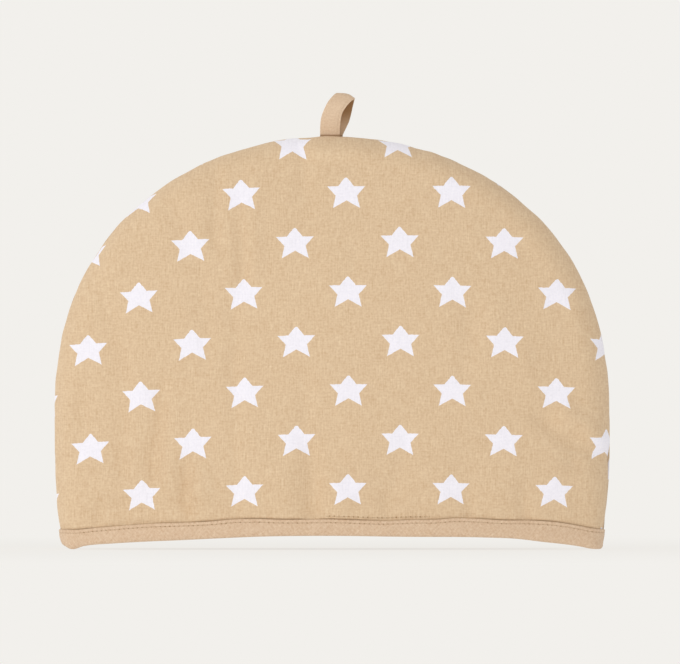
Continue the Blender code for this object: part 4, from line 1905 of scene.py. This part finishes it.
# ---- stitching
@dataclass
class Stitching:
    """Sewing thread: one stitch is modelled, then copied along each row.

    The cuts are shares of a stitch's length. Its ends lose the share taper of their thickness,
    from a start over a reach that are shares of half its length. Each stitch is a little out of
    place, by up to a shake in millimetres and a turn in radians.
    """

    length: float = 2.15 * MM
    thread: float = 0.42 * MM
    pitch: float = 3.0 * MM
    lift: float = 0.26 * MM
    upper_sink: float = 0.16 * MM
    dip: float = 0.34 * MM
    dip_power: float = 2.5
    cuts: Point = (-0.3, 0.0, 0.3)
    taper: float = 0.55
    taper_start: float = 0.55
    taper_reach: float = 0.45
    upper_points: int = 60
    ray_start: float = -0.3
    shake: float = 0.12
    turn: float = 0.09
    seed: int = 5

    def build(self, binding: HemBinding, front: Piece) -> Piece:
        """Sew the rows.

        Args:
            binding: The hem binding that is top-stitched.
            front: The front panel.

        Returns:
            One mesh of every stitch.
        """
        pattern = self._stitch()
        copies = []
        for side in Side:
            line = binding.face_line(side)
            line = line[(line[:, 0] > binding.stitched[0]) & (line[:, 0] < binding.stitched[1])]
            copies += self._row(pattern, line, side, 0.0)
        copies += self._row(pattern, self._upper_line(front), Side.FRONT, -self.upper_sink)
        bpy.data.objects.remove(pattern)
        bpy.ops.object.select_all(action="DESELECT")
        for copy in copies:
            copy.select_set(True)
        bpy.context.view_layer.objects.active = copies[0]
        bpy.ops.object.join()
        bpy.ops.object.transform_apply(location=True, rotation=True, scale=True)
        piece = bpy.context.object
        piece.name = piece.data.name = "top_stitching"
        finish_piece(piece, THREAD)
        return piece

    def _stitch(self) -> Piece:
        """One stitch along X: a short round thread whose ends dip into the cloth.

        Returns:
            The stitch.
        """
        piece = add_shape(
            bpy.ops.mesh.primitive_cylinder_add,
            "stitch",
            vertices=6,
            radius=0.5 * self.thread,
            depth=self.length,
            rotation=(0.0, 0.5 * math.pi, 0.0),
        )
        bpy.ops.object.transform_apply(location=False, rotation=True, scale=False)
        for cut in self.cuts:
            middle = (cut * self.length, 0.0, 0.0)
            with edit_mode(piece):
                bpy.ops.mesh.bisect(plane_co=middle, plane_no=(1.0, 0.0, 0.0))
        places = coordinates(piece)
        end = np.abs(places[:, 0]) / (0.5 * self.length)
        taper = 1.0 - self.taper * smooth_step((end - self.taper_start) / self.taper_reach)
        places[:, 1:] *= taper[:, None]
        places[:, 2] -= self.dip * end**self.dip_power
        move_to(piece, places)
        return piece

    def _upper_line(self, front: Piece) -> Array:
        """Line of the short first row of stitching that shows above the folded edge.

        Args:
            front: The front panel.

        Returns:
            Places along the line, from left to right.
        """
        line, (left, right) = [], UPPER_ROW_SPAN
        for x in np.linspace(left * MM, right * MM, self.upper_points):
            z = float(read_table(FOLD_LINE, np.array([x]))[0]) + UPPER_ROW_RISE * MM
            _, place, _, _ = front.ray_cast((x, self.ray_start, z), (0.0, 1.0, 0.0))
            line.append(place)
        return np.array(line)

    def _row(self, pattern: Piece, line: Array, side: Side, lift: float) -> list[Piece]:
        """Copies of the stitch along a line.

        Args:
            pattern: The stitch to copy.
            line: Places along the row.
            side: Which way the cloth faces there.
            lift: Height of the thread above its usual one.

        Returns:
            The copies, each with its own mesh.
        """
        luck = np.random.default_rng(self.seed + int(side.value))
        lengths = path_lengths(line)
        half = 0.5 * self.pitch
        made = []
        for start in np.arange(half, lengths[-1], self.pitch):
            middle = start + luck.uniform(-self.shake, self.shake) * MM
            left, right = (Vector(points_at(middle + off, lengths, line)) for off in (-half, half))
            along = (right - left).normalized()
            out = Vector((0.0, side.value, 0.0))
            out = (out - along * out.dot(along)).normalized()
            frame = Matrix((along, out.cross(along), out)).transposed().to_4x4()
            tilt = Matrix.Rotation(luck.uniform(-self.turn, self.turn), 4, "Z")
            copy = pattern.copy()
            copy.data = pattern.data.copy()
            bpy.context.scene.collection.objects.link(copy)
            spot = 0.5 * (left + right) + out * (self.lift + lift)
            copy.matrix_world = Matrix.Translation(spot) @ frame @ tilt
            made.append(copy)
        return made


# ---- the studio
@dataclass(frozen=True)
class SoftLight:
    """One square soft light, turned towards the cosy."""

    name: str
    power: float
    size: float
    place: Point
    colour: Colour = (1.0, 0.985, 0.96)
    aim: Point = (0.0, 0.0, 120.0 * MM)

    def build(self) -> None:
        """Hang the light."""
        bpy.ops.object.light_add(type="AREA", location=self.place)
        light = bpy.context.object
        light.name = self.name
        light.data.energy = self.power
        light.data.size = self.size
        light.data.color = self.colour
        way = Vector(self.aim) - Vector(self.place)
        light.rotation_euler = way.to_track_quat("-Z", "Y").to_euler()
        light.visible_camera = False


@dataclass
class Studio:
    """Pale floor, even pale surround, soft key light low on the left, and the camera."""

    surround: Colour = from_screen(242, 240, 236)
    overhead_shade: float = 0.14
    overhead: Place = (0.10, 0.95)
    right_shade: float = 0.46
    rightwards: Place = (0.25, 0.95)
    floor_radius: float = 12.0
    floor_paint: Colour = (0.95, 0.945, 0.93)
    floor_glow: float = 0.80
    fade: Place = (0.16, 0.85)
    camera_distance: float = 12.0
    picture_width: float = 428.06 * MM
    picture_middle: Place = (5.04 * MM, 136.6 * MM)
    key: SoftLight = SoftLight("key_light", 193.0, 5.2, (-9.3, -6.0, 2.04))
    fill: SoftLight = SoftLight("fill_light", 6.6, 1.2, (0.72, -2.05, 0.42))
    edge: SoftLight = SoftLight("edge_light", 15.0, 1.6, (-4.5, 1.6, 0.9))

    def build(self) -> None:
        """Set up floor, surround, light and camera."""
        self._floor()
        self._surround()
        for light in (self.key, self.fill, self.edge):
            light.build()
        self._camera()
        view = bpy.context.scene.view_settings
        view.view_transform, view.look = "Standard", "None"
        view.exposure, view.gamma = 0.0, 1.0
        LOG.info("studio ready")

    def _floor(self) -> None:
        """Round floor whose far part glows like the surround, so that no horizon shows."""
        circle = bpy.ops.mesh.primitive_circle_add
        floor = add_shape(circle, "floor", vertices=96, radius=self.floor_radius, fill_type="NGON")
        bench = NodeBench.for_material("floor_paint")
        place = bench.node("ShaderNodeTexCoord", output="Object")
        x, y, _ = bench.split(place)
        radius = (x * x + y * y).apply("SQRT")
        paint = bench.node("ShaderNodeBsdfDiffuse", {}, {"Color": rgba(self.floor_paint)})
        glow = bench.node("ShaderNodeEmission", {}, {"Color": rgba(self.surround)})
        far = radius.ramp(*self.fade) * (1.0 - self.floor_glow) + self.floor_glow
        bench.output(bench.node("ShaderNodeMixShader", {}, [far, paint, glow]))
        floor.data.materials.append(bench.owner)

    def _surround(self) -> None:
        """Even pale surround, a little darker overhead and to the right."""
        world = bpy.data.worlds.new("surround")
        bpy.context.scene.world = world
        bench = NodeBench(world)
        way = bench.node("ShaderNodeTexCoord", output="Generated")
        x, _, z = bench.split(way)
        shade = z.ramp(*self.overhead) * self.overhead_shade
        light = 1.0 - shade - x.ramp(*self.rightwards) * self.right_shade
        values = {"Color": rgba(self.surround), "Strength": light}
        bench.output(bench.node("ShaderNodeBackground", {}, values))

    def _camera(self) -> None:
        """Camera straight in front, level with the middle of the picture."""
        data = bpy.data.cameras.new("camera")
        camera = bpy.data.objects.new("camera", data)
        bpy.context.scene.collection.objects.link(camera)
        x, z = self.picture_middle
        camera.location = (x, -self.camera_distance, z)
        camera.rotation_euler = (0.5 * math.pi, 0.0, 0.0)
        data.lens = data.sensor_width * self.camera_distance / self.picture_width
        data.clip_start, data.clip_end = 0.1, 100.0
        bpy.context.scene.camera = camera


def main() -> None:
    """Build the cosy and its studio."""
    logging.basicConfig(level=logging.INFO, format="%(message)s")
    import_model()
    Studio().build()
    front = PaddedPanel(Side.FRONT, FRONT_FOLDS, CoverTrial(0.014, 0.4), 21).build()
    PaddedPanel(Side.BACK, BACK_FOLDS, CoverTrial(0.024, 1.0), 47, (23.0, 13.0)).build()
    binding = HemBinding()
    binding.build()
    HangingLoop().build()
    Stitching().build(binding, front)


if __name__ == "__main__":
    main()
